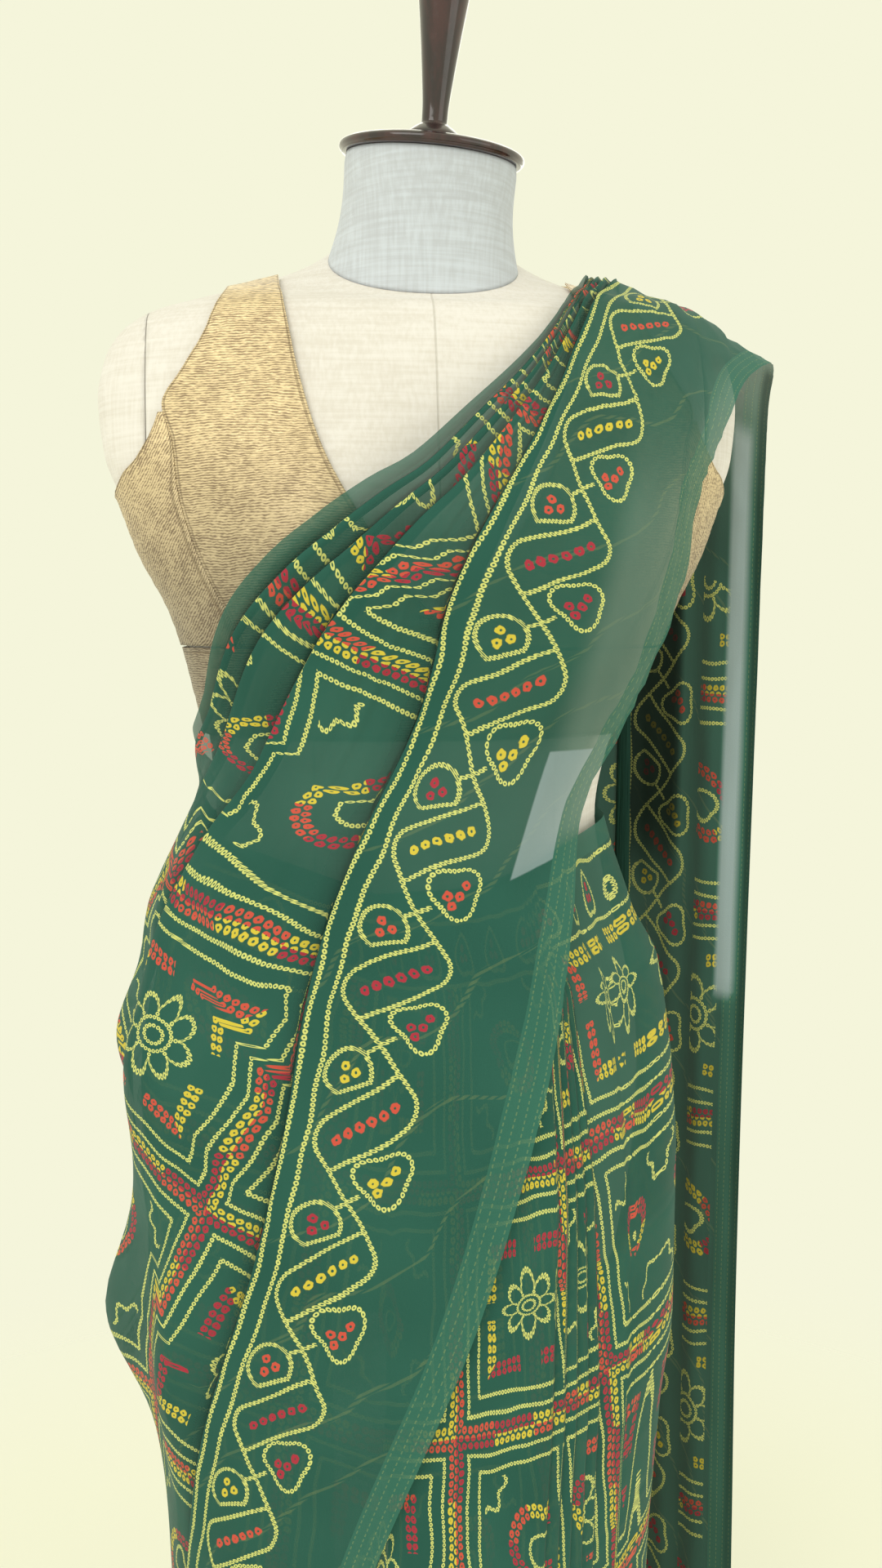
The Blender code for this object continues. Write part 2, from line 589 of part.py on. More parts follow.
def pushed_out(row, least):
    """A row of points, each moved out where it is nearer than least to the form's skin."""
    points, normals = SAMPLES
    moved = []
    for point in row:
        distances = np.linalg.norm(points - point, axis=1)
        nearest = int(np.argmin(distances))
        outside = float(np.dot(point - points[nearest], normals[nearest]))
        push = max(0.0, least - outside) if distances[nearest] < FORM_NEAR else 0.0
        moved.append(point + normals[nearest] * push)
    return np.array(moved)


def row_normals(rows):
    """Outward unit normals of a grid of rows."""
    grid = np.array(rows)
    along = np.gradient(grid, axis=0)
    across = np.gradient(grid, axis=1)
    normal = np.cross(along, across)
    return normal / np.linalg.norm(normal, axis=2, keepdims=True)


def last_turn_grid():
    """The middle surface of the last turn with its folds, station by station."""
    rows, folds = carrier_rows()
    lengths = [float(np.mean(np.linalg.norm(b - a, axis=1))) for a, b in zip(rows, rows[1:])]
    stations = []
    for i, length in enumerate(lengths):
        high = max(rows[i][:, 2].mean(), rows[i + 1][:, 2].mean()) > 1.30
        step = SHOULDER_STEP if high else FALL_STEP if i > len(LAST_TURN) else PANEL_STEP
        count = max(1, round(length / step))
        stations += [i + j / count for j in range(count)]
    stations.append(len(lengths))
    fine_rows = [pushed_out(catmull(rows, t), CARRIER_CLEAR) for t in stations]
    fine_folds = [catmull(folds, t) for t in stations]
    normals = row_normals(fine_rows)
    grid = []
    for row, fold, normal in zip(fine_rows, fine_folds, normals):
        run, path = fold_section(row, fold[:3], float(fold[3]))
        points = []
        for a, deep in path:
            place = [float(np.interp(a, run, row[:, k])) for k in range(3)]
            out = np.array([float(np.interp(a, run, normal[:, k])) for k in range(3)])
            points.append(np.array(place) - out / np.linalg.norm(out) * deep)
        grid.append(pushed_out(points, SHEET_CLEAR))
    return grid


def pleat_stations():
    """Angle at the waist and the hem, share of the stack's height and of the first turn's place inside."""
    stations = []
    for angle in np.linspace(FIRST_TURN_START, FIRST_TURN_END, 7):
        stations.append((angle, angle, stack_share(angle), 1.0))
    layers = 2 * PLEATS
    for layer in range(layers + 1):
        pleat = layer // 2
        right = (PLEAT_RIGHT_WAIST + PLEAT_STEP_WAIST * pleat, PLEAT_RIGHT_HEM + PLEAT_STEP_HEM * pleat)
        left = (right[0] - PLEAT_WIDTH_WAIST, right[1] - PLEAT_WIDTH_HEM)
        before = (left[0] - PLEAT_STEP_WAIST, left[1] - PLEAT_STEP_HEM)
        start, end = (right, left) if layer % 2 else (before, right)
        if layer == layers:
            end = SKIRT_LEAVES_PLEATS
        for j in range(PLEAT_SPANS + 1):
            t = j / PLEAT_SPANS
            waist_x, hem_x = (start[k] + (end[k] - start[k]) * t for k in range(2))
            turns = front_angle(waist_x, WAIST_Z), front_angle(hem_x, HEM_Z)
            stations.append((*turns, 1.0 - layer / layers, 1.0))
    for waist_angle, hem_angle, inside in SKIRT_END:
        stations.append((waist_angle, hem_angle, 0.0, inside))
    return stations


def front_angle(x, z):
    """The angle in degrees at which the draped body is x wide of the form's middle, in front."""
    half_width, middle = section_row(DRAPE_SECTIONS, z)[:2]
    ratio = min(1.0, abs(x - middle) / half_width)
    return math.copysign(math.degrees(math.asin(ratio ** (SECTION_POWER / 2.0))), x - middle)


def skirt_grid(shares):
    """The middle surface of the first turn and the pleats, with points at shares of its height."""
    grid = []
    for waist_angle, hem_angle, stack, inside in pleat_stations():
        points = []
        for share in shares:
            z = HEM_Z + (waist_height(waist_angle) - HEM_Z) * share
            angle = hem_angle + (waist_angle - hem_angle) * share
            points.append(drape_point(angle, z, pleat_lift(z) * stack - TURN_GAP * inside))
        grid.append(points)
    return grid


def thick_sheet(rows_list):
    """A closed sheet about rows of points. A row may have fewer points than its neighbour."""
    points, index = [], []
    for row in rows_list:
        index.append(list(range(len(points), len(points) + len(row))))
        points += [np.array(p) for p in row]
    faces = []
    for near, far in zip(index, index[1:]):
        faces += band_faces(near, far)
    corners = offset_points(points, faces)
    solid = bmesh.new()
    outer = [solid.verts.new(Vector(p + d)) for p, d in zip(points, corners)]
    inner = [solid.verts.new(Vector(p - d)) for p, d in zip(points, corners)]
    for face in faces:
        solid.faces.new([outer[i] for i in face])
        solid.faces.new([inner[i] for i in reversed(face)])
    rim = list(index[0]) + [row[-1] for row in index[1:]]
    rim += list(reversed(index[-1]))[1:] + [row[0] for row in reversed(index)][1:-1]
    for i, j in zip(rim, rim[1:] + rim[:1]):
        solid.faces.new((outer[i], outer[j], inner[j], inner[i]))
    return solid


def band_faces(near, far):
    """Triangles between two rows of point numbers, one of which may be COARSE times as fine."""
    faces = []
    if len(near) == len(far):
        for j in range(len(near) - 1):
            faces.append((near[j], far[j], far[j + 1]))
            faces.append((near[j], far[j + 1], near[j + 1]))
        return faces
    fine, coarse, flip = (near, far, False) if len(near) > len(far) else (far, near, True)
    for j in range(len(coarse) - 1):
        group = fine[j * COARSE:(j + 1) * COARSE + 1]
        fan = [(coarse[j], group[k + 1], group[k]) for k in range(COARSE)]
        fan.append((coarse[j], coarse[j + 1], group[-1]))
        faces += [tuple(reversed(f)) for f in fan] if flip else fan
    return faces


def offset_points(points, faces):
    """For each point the step that moves every face around it out by half the cloth's thickness."""
    normals = [[] for _ in points]
    for face in faces:
        a, b, c = (points[i] for i in face)
        normal = np.cross(b - a, c - a)
        size = np.linalg.norm(normal)
        if size < 1e-12:
            continue
        for i in face:
            normals[i].append(normal / size)
    steps = []
    for around in normals:
        matrix = np.array(around)
        target = np.full(len(around), CLOTH / 2.0)
        step = np.linalg.lstsq(matrix, target, rcond=0.15)[0]
        steps.append(step)
    return steps


def build_sari(georgette):
    """The sari as one closed sheet."""
    turn = last_turn_grid()
    first = [point[2] for point in turn[0][::COARSE]]
    skirt = skirt_grid([(z - first[0]) / (first[-1] - first[0]) for z in first])
    add_object("sari", thick_sheet(skirt + turn), georgette)


def main():
    """Builds every piece."""
    clear_scene()
    linen = make_material("linen", (0.86, 0.82, 0.72), 0.85)
    wood = make_material("wood", (0.060, 0.012, 0.012), 0.15)
    metal = make_material("metal", (0.03, 0.03, 0.03), 0.35, 0.9)
    lurex = make_material("lurex", (0.52, 0.38, 0.20), 0.45, 0.4)
    georgette = make_material("georgette", (0.027, 0.115, 0.080), 0.75)
    build_trunk(linen)
    build_neck(linen, wood)
    build_stand(wood, metal)
    build_blouse(lurex)
    build_sari(georgette)


SKIN = skin_rows()
SAMPLES = form_samples()
main()
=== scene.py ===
"""Looks for a printed georgette sari draped over a dress form.

Units are metres and +Z is up. The form faces -Y. Every piece rides on the one body of the model, and
lies on the solid that it stands for.
"""

import logging
import math
from dataclasses import dataclass, field
from enum import Enum
from typing import Sequence, TypeAlias

import bmesh
import bpy
import numpy as np
from bmesh.types import BMesh
from bpy.types import Material, Object
from mathutils import Matrix, Vector
from mathutils.bvhtree import BVHTree

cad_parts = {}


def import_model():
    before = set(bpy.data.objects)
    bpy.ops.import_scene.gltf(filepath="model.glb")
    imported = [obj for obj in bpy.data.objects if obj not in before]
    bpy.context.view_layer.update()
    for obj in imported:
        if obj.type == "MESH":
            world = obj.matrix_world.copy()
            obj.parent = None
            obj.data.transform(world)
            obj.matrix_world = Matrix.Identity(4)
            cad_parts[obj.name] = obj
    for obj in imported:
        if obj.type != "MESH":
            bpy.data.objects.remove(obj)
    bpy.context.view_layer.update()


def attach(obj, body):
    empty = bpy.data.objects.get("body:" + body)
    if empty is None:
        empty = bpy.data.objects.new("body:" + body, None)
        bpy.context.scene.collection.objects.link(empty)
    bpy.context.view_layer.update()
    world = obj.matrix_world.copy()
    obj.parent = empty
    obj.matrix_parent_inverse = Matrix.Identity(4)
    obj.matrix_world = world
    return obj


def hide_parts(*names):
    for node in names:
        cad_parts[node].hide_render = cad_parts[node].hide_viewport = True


LOG = logging.getLogger("sari")
BODY = "root"
Array = np.ndarray
Pair = tuple[float, float]
Triple = tuple[float, float, float]
Four = tuple[float, float, float, float]
Colour = Triple
Line = tuple[Pair, ...]
Value: TypeAlias = "float | Socket"

# Sections of the form: z, half width, depth to the front, depth to the back, slope down to the front
FORM_SECTIONS = np.array((
    (0.728, 0.152, 0.104, 0.112, 0.00),
    (0.800, 0.163, 0.110, 0.121, 0.00),
    (0.870, 0.166, 0.112, 0.124, 0.00),
    (0.940, 0.156, 0.106, 0.112, 0.00),
    (1.000, 0.140, 0.096, 0.090, 0.00),
    (1.045, 0.133, 0.090, 0.078, 0.00),
    (1.090, 0.138, 0.093, 0.078, 0.00),
    (1.140, 0.154, 0.101, 0.084, 0.00),
    (1.190, 0.172, 0.106, 0.092, 0.00),
    (1.225, 0.190, 0.106, 0.097, 0.00),
    (1.255, 0.201, 0.103, 0.099, 0.00),
    (1.290, 0.214, 0.096, 0.098, 0.00),
    (1.325, 0.217, 0.087, 0.093, 0.00),
    (1.350, 0.212, 0.079, 0.087, 0.00),
    (1.368, 0.201, 0.072, 0.080, 0.03),
    (1.382, 0.181, 0.066, 0.074, 0.10),
    (1.393, 0.148, 0.061, 0.068, 0.20),
    (1.402, 0.112, 0.057, 0.062, 0.33),
    (1.410, 0.083, 0.054, 0.056, 0.47),
    (1.418, 0.064, 0.051, 0.052, 0.60),
))
# Sections of the body that the cloth makes as it hangs: z, half width, middle in x, front, back
DRAPE_SECTIONS = np.array((
    (0.000, 0.204, -0.004, 0.196, 0.190),
    (0.250, 0.188, -0.006, 0.168, 0.168),
    (0.460, 0.178, -0.007, 0.150, 0.152),
    (0.610, 0.185, -0.006, 0.149, 0.149),
    (0.680, 0.195, -0.008, 0.148, 0.146),
    (0.800, 0.195, -0.008, 0.142, 0.142),
    (0.860, 0.194, -0.011, 0.137, 0.139),
    (0.900, 0.190, -0.012, 0.133, 0.134),
    (0.940, 0.182, -0.011, 0.127, 0.126),
    (0.980, 0.172, -0.021, 0.120, 0.112),
    (1.030, 0.153, -0.019, 0.113, 0.096),
    (1.065, 0.142, -0.014, 0.113, 0.092),
    (1.120, 0.154, -0.003, 0.124, 0.094),
    (1.180, 0.180, 0.000, 0.140, 0.102),
    (1.230, 0.203, 0.000, 0.146, 0.108),
    (1.270, 0.214, 0.000, 0.134, 0.110),
    (1.320, 0.226, 0.000, 0.110, 0.106),
    (1.370, 0.206, 0.000, 0.084, 0.094),
))
# The last turn: angle and height of the lower selvage, the border fold and the upper selvage, the places
# of three more folds between border fold and upper selvage, and the folds' share of their full depth
LAST_TURN = np.array((
    (-246, 0.011, -248, 0.165, -252, 1.045, 0.45, 0.68, 0.88, 0.00),
    (-178, 0.011, -196, 0.168, -236, 1.045, 0.45, 0.70, 0.89, 0.10),
    (-130, 0.012, -155, 0.170, -216, 1.046, 0.45, 0.72, 0.90, 0.22),
    (-92, 0.040, -120, 0.180, -196, 1.048, 0.45, 0.73, 0.91, 0.36),
    (-60, 0.150, -93, 0.250, -176, 1.050, 0.45, 0.74, 0.92, 0.52),
    (-38, 0.320, -72, 0.400, -158, 1.053, 0.45, 0.75, 0.92, 0.68),
    (-22, 0.470, -57, 0.540, -144, 1.058, 0.46, 0.76, 0.93, 0.80),
    (-10, 0.595, -43, 0.660, -130, 1.064, 0.47, 0.77, 0.93, 0.90),
    (3, 0.720, -30, 0.784, -115, 1.074, 0.48, 0.77, 0.93, 1.00),
    (11, 0.810, -23, 0.870, -103, 1.086, 0.52, 0.77, 0.94, 1.00),
    (21, 0.915, -17, 0.968, -88, 1.104, 0.56, 0.79, 0.94, 1.00),
    (33, 0.990, -11, 1.042, -71, 1.124, 0.58, 0.81, 0.94, 1.00),
    (48, 1.055, -5, 1.110, -50, 1.172, 0.56, 0.80, 0.92, 1.00),
    (58, 1.100, -2, 1.149, -36, 1.205, 0.54, 0.76, 0.89, 1.00),
    (62, 1.138, 0, 1.189, -21, 1.238, 0.50, 0.70, 0.86, 1.00),
    (58, 1.176, 3, 1.222, -11, 1.262, 0.47, 0.67, 0.84, 1.00),
    (53, 1.216, 7, 1.252, -4, 1.278, 0.43, 0.65, 0.83, 1.00),
    (51, 1.258, 12, 1.287, 3, 1.309, 0.40, 0.63, 0.83, 1.00),
    (56, 1.298, 17, 1.325, 11, 1.340, 0.38, 0.62, 0.82, 1.00),
))
# Over the shoulder and down behind: x, y, z of the lower selvage, the border fold and the upper selvage
PALLU = np.array((
    (0.208, -0.052, 1.336, 0.098, -0.064, 1.372, 0.082, -0.064, 1.376),
    (0.236, -0.022, 1.355, 0.123, -0.030, 1.404, 0.104, -0.030, 1.406),
    (0.251, 0.010, 1.354, 0.136, 0.010, 1.409, 0.113, 0.012, 1.412),
    (0.259, 0.040, 1.335, 0.148, 0.062, 1.394, 0.117, 0.060, 1.402),
    (0.266, 0.062, 1.282, 0.164, 0.116, 1.332, 0.112, 0.106, 1.350),
    (0.272, 0.082, 1.170, 0.176, 0.144, 1.215, 0.104, 0.130, 1.230),
    (0.275, 0.096, 0.985, 0.182, 0.166, 1.020, 0.098, 0.152, 1.030),
    (0.276, 0.104, 0.780, 0.184, 0.180, 0.800, 0.094, 0.172, 0.800),
    (0.278, 0.109, 0.580, 0.184, 0.187, 0.580, 0.092, 0.178, 0.570),
    (0.281, 0.111, 0.400, 0.182, 0.190, 0.380, 0.092, 0.180, 0.360),
    (0.283, 0.112, 0.270, 0.180, 0.191, 0.240, 0.092, 0.181, 0.200),
))
# Blouse, on the side that shows: x and z of points on the form's front, from the shoulder down
NECKLINE = ((-0.0970, 1.4060), (-0.0958, 1.4000), (-0.0949, 1.3950), (-0.0931, 1.3775), (-0.0880, 1.3444),
            (-0.0824, 1.3195), (-0.0750, 1.2927), (-0.0672, 1.2716), (-0.0571, 1.2510), (-0.0270, 1.2050),
            (-0.0012, 1.1720))
ARMHOLE = ((-0.1300, 1.3975), (-0.1314, 1.3930), (-0.1343, 1.3837), (-0.1385, 1.3700), (-0.1418, 1.3593),
           (-0.1566, 1.3337), (-0.1687, 1.3134), (-0.1736, 1.3011), (-0.1855, 1.2820), (-0.1953, 1.2737),
           (-0.2060, 1.2560))
PRINCESS_SEAM = ((-0.1666, 1.3123), (-0.1621, 1.2903), (-0.1586, 1.2602), (-0.1498, 1.2299),
                 (-0.1391, 1.2049), (-0.1280, 1.1833), (-0.1190, 1.1640))
BAND_TOP, BAND_BOTTOM = 1.1630, 1.1050


def smooth_table(x: Array, xs: Array, ys: Array) -> Array:
    """A smooth curve through a table that keeps between neighbouring rows.

    Args:
        x: Where it is read.
        xs: The table's rising places.
        ys: The values there.

    Returns:
        The values at x.
    """
    x = np.clip(x, xs[0], xs[-1])
    width = np.diff(xs)
    slope = np.diff(ys) / width
    tangent = np.zeros_like(ys)
    flat = slope[:-1] * slope[1:] <= 0
    safe = np.where(flat, 1.0, slope[:-1] + slope[1:])
    tangent[1:-1] = np.where(flat, 0.0, 2.0 * slope[:-1] * slope[1:] / safe)
    tangent[0], tangent[-1] = slope[0], slope[-1]
    i = np.clip(np.searchsorted(xs, x, side="right") - 1, 0, len(xs) - 2)
    t = (x - xs[i]) / width[i]
    h00 = (1 + 2 * t) * (1 - t) ** 2
    h10 = t * (1 - t) ** 2
    h01 = t * t * (3 - 2 * t)
    h11 = t * t * (t - 1)
    return h00 * ys[i] + h10 * width[i] * tangent[i] + h01 * ys[i + 1] + h11 * width[i] * tangent[i + 1]


def smooth_step(low: float, high: float, value: Array) -> Array:
    """A soft step.

    Args:
        low: Where it is still 0.
        high: Where it has come to 1.
        value: Where it is read.

    Returns:
        The step's height at value.
    """
    t = np.clip((np.asarray(value, float) - low) / (high - low), 0.0, 1.0)
    return t * t * (3.0 - 2.0 * t)


def plateau(value: Array, *corners: float) -> Array:
    """A soft hill that rises from 0 to 1 between two corners and falls between two more."""
    return smooth_step(*corners[:2], value) * (1.0 - smooth_step(*corners[2:], value))


def squared(angle: Array, power: float = 2.2) -> tuple[Array, Array]:
    """Sine and cosine of an angle, squared off.

    Args:
        angle: The angle in radians.
        power: How square the outline is. A circle has 2.

    Returns:
        The part across and the part along.
    """
    sine, cosine = np.sin(angle), np.cos(angle)
    share = 2.0 / power
    return np.copysign(np.abs(sine) ** share, sine), np.copysign(np.abs(cosine) ** share, cosine)


def catmull(rows: Array, places: Array) -> Array:
    """A smooth curve through rows of numbers.

    Args:
        rows: One array of numbers for each row.
        places: Row numbers, which may lie between rows.

    Returns:
        One array of numbers for each place.
    """
    last = len(rows) - 1
    padded = np.concatenate((2 * rows[:1] - rows[1:2], rows, 2 * rows[-1:] - rows[-2:-1]))
    i = np.clip(places.astype(int), 0, last - 1)
    f = (places - i).reshape((-1,) + (1,) * (rows.ndim - 1))
    p0, p1, p2, p3 = (padded[i + k] for k in range(4))
    return 0.5 * (2 * p1 + (p2 - p0) * f + (2 * p0 - 5 * p1 + 4 * p2 - p3) * f ** 2
                  + (3 * p1 - p0 - 3 * p2 + p3) * f ** 3)


def from_front(angle: Array) -> Array:
    """An angle in degrees, counted from -180 to 180."""
    return (np.asarray(angle, float) + 180.0) % 360.0 - 180.0


def waves(places: Array, seed: int, count: int = 5) -> Array:
    """Gentle seeded noise of one number.

    Args:
        places: Where it is read.
        seed: Picks one noise of many.
        count: How many sines it adds up.

    Returns:
        Values between about -1 and 1.
    """
    dice = np.random.default_rng(seed)
    total = np.zeros_like(np.asarray(places, float))
    for k in range(count):
        pace = (k + 1) * dice.uniform(0.7, 1.3)
        total += np.sin(places * pace + dice.uniform(0, 6.28)) * dice.uniform(0.6, 1.0) / (k + 1)
    return total / 1.6


def finish_piece(name: str, shape: BMesh, material: Material,
                 nodes: Sequence[str]) -> Object:
    """Makes a mesh an object that rides on the body.

    Args:
        name: The piece's name.
        shape: Its mesh, which is used up.
        material: Its finish.
        nodes: The CAD nodes that it stands for.

    Returns:
        The new object.
    """
    mesh = bpy.data.meshes.new(name)
    shape.to_mesh(mesh)
    shape.free()
    mesh.shade_smooth()
    mesh.materials.append(material)
    piece = bpy.data.objects.new(name, mesh)
    bpy.context.scene.collection.objects.link(piece)
    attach(piece, BODY)
    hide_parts(*nodes)
    LOG.info("%s: %d faces", name, len(mesh.polygons))
    return piece


class Socket:
    """A shader value, on which Python's operators add Math nodes."""

    def __init__(self, tree: "Nodes", output: bpy.types.NodeSocket) -> None:
        """Wraps an output of a node."""
        self.tree = tree
        self.output = output

    def _math(self, operation: str, *others: Value) -> "Socket":
        """Adds a Math node with this value first."""
        return self.tree.math(operation, self, *others)

    def __add__(self, other: Value) -> "Socket":
        """Sum."""
        return self._math("ADD", other)

    __radd__ = __add__

    def __mul__(self, other: Value) -> "Socket":
        """Product."""
        return self._math("MULTIPLY", other)

    __rmul__ = __mul__

    def __sub__(self, other: Value) -> "Socket":
        """Difference."""
        return self._math("SUBTRACT", other)

    def __rsub__(self, other: Value) -> "Socket":
        """Difference the other way round."""
        return self.tree.math("SUBTRACT", other, self)

    def __truediv__(self, other: Value) -> "Socket":
        """Quotient."""
        return self._math("DIVIDE", other)

    def __rtruediv__(self, other: Value) -> "Socket":
        """Quotient the other way round."""
        return self.tree.math("DIVIDE", other, self)

    def __neg__(self) -> "Socket":
        """Negative."""
        return self._math("MULTIPLY", -1.0)

    def __abs__(self) -> "Socket":
        """Size without sign."""
        return self._math("ABSOLUTE")

    def __pow__(self, other: Value) -> "Socket":
        """Power."""
        return self._math("POWER", other)

    def __mod__(self, other: Value) -> "Socket":
        """Remainder that is never negative."""
        return self._math("FLOORED_MODULO", other)

    def __lt__(self, other: Value) -> "Socket":
        """One where smaller."""
        return self._math("LESS_THAN", other)

    def __gt__(self, other: Value) -> "Socket":
        """One where larger."""
        return self._math("GREATER_THAN", other)

    def sqrt(self) -> "Socket":
        """Square root."""
        return self._math("SQRT")

    def floor(self) -> "Socket":
        """Whole number below."""
        return self._math("FLOOR")

    def round(self) -> "Socket":
        """Nearest whole number."""
        return self._math("ROUND")

    def sin(self) -> "Socket":
        """Sine."""
        return self._math("SINE")

    def angle(self, other: "Socket") -> "Socket":
        """Angle of the direction whose first part is other and whose second is this."""
        return self._math("ARCTAN2", other)

    def least(self, other: Value) -> "Socket":
        """The smaller of two."""
        return self._math("MINIMUM", other)

    def most(self, other: Value) -> "Socket":
        """The larger of two."""
        return self._math("MAXIMUM", other)

    def step(self, low: float, high: float) -> "Socket":
        """A soft step, which falls where low is the larger.

        Args:
            low: Where it is still 0.
            high: Where it has come to 1.

        Returns:
            The step's height at this value.
        """
        start, end = (0.0, 1.0) if low < high else (1.0, 0.0)
        low, high = min(low, high), max(low, high)
        node = self.tree.node("ShaderNodeMapRange", {"interpolation_type": "SMOOTHSTEP"},
                              {"Value": self, "From Min": low, "From Max": high,
                               "To Min": start, "To Max": end})
        return Socket(self.tree, node.outputs["Result"])

    def mix(self, low: Value, high: Value) -> "Socket":
        """A value between low, where this is 0, and high, where it is 1."""
        node = self.tree.node("ShaderNodeMix", {"data_type": "FLOAT"}, {0: self, 2: low, 3: high})
        return Socket(self.tree, node.outputs[0])


class Nodes:
    """The node tree of a material."""

    def __init__(self, name: str) -> None:
        """Starts a material with its shader and output.

        Args:
            name: The material's name.
        """
        self.material = bpy.data.materials.new(name)
        self.material.use_nodes = True
        self.tree = self.material.node_tree
        self.tree.nodes.clear()
        self.shader = self.tree.nodes.new("ShaderNodeBsdfPrincipled")
        output = self.tree.nodes.new("ShaderNodeOutputMaterial")
        self.tree.links.new(self.shader.outputs[0], output.inputs["Surface"])

    def node(self, kind: str, settings: dict, inputs: dict) -> bpy.types.Node:
        """Adds one node.

        Args:
            kind: The node's type.
            settings: Its properties, set first.
            inputs: Values or links of its sockets, by name or number.

        Returns:
            The new node.
        """
        node = self.tree.nodes.new(kind)
        for key, value in settings.items():
            setattr(node, key, value)
        for key, value in inputs.items():
            self._feed(node.inputs[key], value)
        return node

    def _feed(self, socket: bpy.types.NodeSocket, value: object) -> None:
        """Feeds a socket.

        Args:
            socket: The socket.
            value: A wrapped output to link to it, or its value.
        """
        if isinstance(value, Socket):
            self.tree.links.new(value.output, socket)
        else:
            socket.default_value = value

    def math(self, operation: str, *values: Value) -> Socket:
        """Adds a Math node."""
        node = self.node("ShaderNodeMath", {"operation": operation}, dict(enumerate(values)))
        return Socket(self, node.outputs[0])

    def blend(self, share: Value, low: "Colour | Socket", high: "Colour | Socket",
              kind: str = "MIX") -> Socket:
        """A colour between two.

        Args:
            share: 0 for the first colour and 1 for the second.
            low: The first colour.
            high: The second colour.
            kind: How the second is laid over the first.

        Returns:
            The new colour.
        """
        low = (*low, 1.0) if isinstance(low, tuple) else low
        high = (*high, 1.0) if isinstance(high, tuple) else high
        node = self.node("ShaderNodeMix", {"data_type": "RGBA", "blend_type": kind},
                         {0: share, 6: low, 7: high})
        return Socket(self, node.outputs[2])

    def object_place(self) -> Socket:
        """The place in the object's own coordinates."""
        return Socket(self, self.node("ShaderNodeTexCoord", {}, {}).outputs["Object"])

    def uv(self, name: str) -> tuple[Socket, Socket]:
        """The two numbers of a UV map."""
        source = self.node("ShaderNodeUVMap", {"uv_map": name}, {})
        return self.split(Socket(self, source.outputs["UV"]))[:2]

    def split(self, vector: Socket) -> tuple[Socket, Socket, Socket]:
        """The three numbers of a vector."""
        parts = self.node("ShaderNodeSeparateXYZ", {}, {0: vector})
        return tuple(Socket(self, parts.outputs[k]) for k in range(3))

    def join(self, x: Value, y: Value, z: Value = 0.0) -> Socket:
        """A vector from three numbers."""
        return Socket(self, self.node("ShaderNodeCombineXYZ", {}, {0: x, 1: y, 2: z}).outputs[0])

    def noise(self, place: Socket, scale: float, detail: float = 3.0, roughness: float = 0.55,
              axes: str = "3D") -> Socket:
        """Smooth noise between 0 and 1.

        Args:
            place: Where it is read.
            scale: How many of its cells fit in a metre.
            detail: How many finer layers it has.
            roughness: How strong the finer layers are.
            axes: 3D for a place in space, 2D for one on a flat.

        Returns:
            The noise's value.
        """
        node = self.node("ShaderNodeTexNoise", {"noise_dimensions": axes},
                         {"Vector": place, "Scale": scale, "Detail": detail, "Roughness": roughness})
        return Socket(self, node.outputs[0])

    def stretched(self, place: Socket, scale: Triple) -> Socket:
        """A place with each of its numbers multiplied."""
        node = self.node("ShaderNodeVectorMath", {"operation": "MULTIPLY"}, {0: place, 1: scale})
        return Socket(self, node.outputs[0])

    def attribute(self, name: str) -> Socket:
        """A number kept on the mesh."""
        return Socket(self, self.node("ShaderNodeAttribute", {"attribute_name": name}, {}).outputs["Fac"])

    def bump(self, height: Socket, distance: float, strength: float = 1.0) -> Socket:
        """A surface direction, from a height of 1 that stands distance metres proud."""
        node = self.node("ShaderNodeBump", {}, {"Height": height, "Distance": distance, "Strength": strength})
        return Socket(self, node.outputs[0])

    def set(self, **inputs: object) -> None:
        """Sets or links sockets of the shader, named with underscores for spaces."""
        for key, value in inputs.items():
            self._feed(self.shader.inputs[key.replace("_", " ")], value)


@dataclass(frozen=True)
class Linen:
    """Plain woven cover of the padded form."""

    name: str
    light: Colour
    dark: Colour
    seams: bool = False
    thread: float = 0.00062
    slub_stretch: Pair = (22.0, 420.0)
    seam_shadow: Colour = (0.300, 0.260, 0.200)
    princess_x: float = 0.0790
    princess_top: float = 1.22
    arm_x: float = 0.18115
    arm_base: float = 1.236
    off_the_line: float = 0.01

    def make(self) -> Material:
        """Builds the material, with its weave, slubs and faint marks, and painted shadow along its seams."""
        nodes = Nodes(self.name)
        place = nodes.object_place()
        x, y, z = nodes.split(place)
        around = x + y * 0.55
        warp = (around * (2 * math.pi / self.thread)).sin()
        weft = (z * (2 * math.pi / self.thread)).sin()
        long, thin = self.slub_stretch
        slub = nodes.noise(nodes.stretched(place, (long, long, thin)), 1.0, 2.0)
        slub_up = nodes.noise(nodes.stretched(place, (thin, thin, long)), 1.0, 2.0)
        weave = (warp * weft) * 0.5 + slub * 0.9 + slub_up * 0.7
        cloud = nodes.noise(place, 9.0, 4.0)
        shade = (slub * 0.4 + slub_up * 0.35 + cloud * 0.25).step(0.34, 0.64)
        colour = nodes.blend(shade, self.dark, self.light)
        if self.seams:
            line = self._seams(x, y, z)
            # Painted shadow along the seams, which the bump also sinks.
            colour = nodes.blend(line * 0.30, colour, self.seam_shadow)
            weave = weave - line * 3.0
        nodes.set(Base_Color=colour, Roughness=0.86, Sheen_Weight=0.12, Sheen_Roughness=0.6,
                  Normal=nodes.bump(weave, 0.00022, 0.55))
        return nodes.material

    def _seams(self, x: Socket, y: Socket, z: Socket) -> Socket:
        """The seams down the middle, over the breasts and round the arms.

        Args:
            x: Place to the side.
            y: Place to the back.
            z: Height.

        Returns:
            One on a seam and 0 beside it.
        """
        middle = abs(x)
        princess = abs(middle - self.princess_x) + (z > self.princess_top) * self.off_the_line
        princess = princess + (y > 0.02) * self.off_the_line
        arm = abs(middle - self.arm_x) + (z < self.arm_base) * self.off_the_line + 0.0004
        return middle.least(princess).least(arm).step(0.0009, 0.0003)


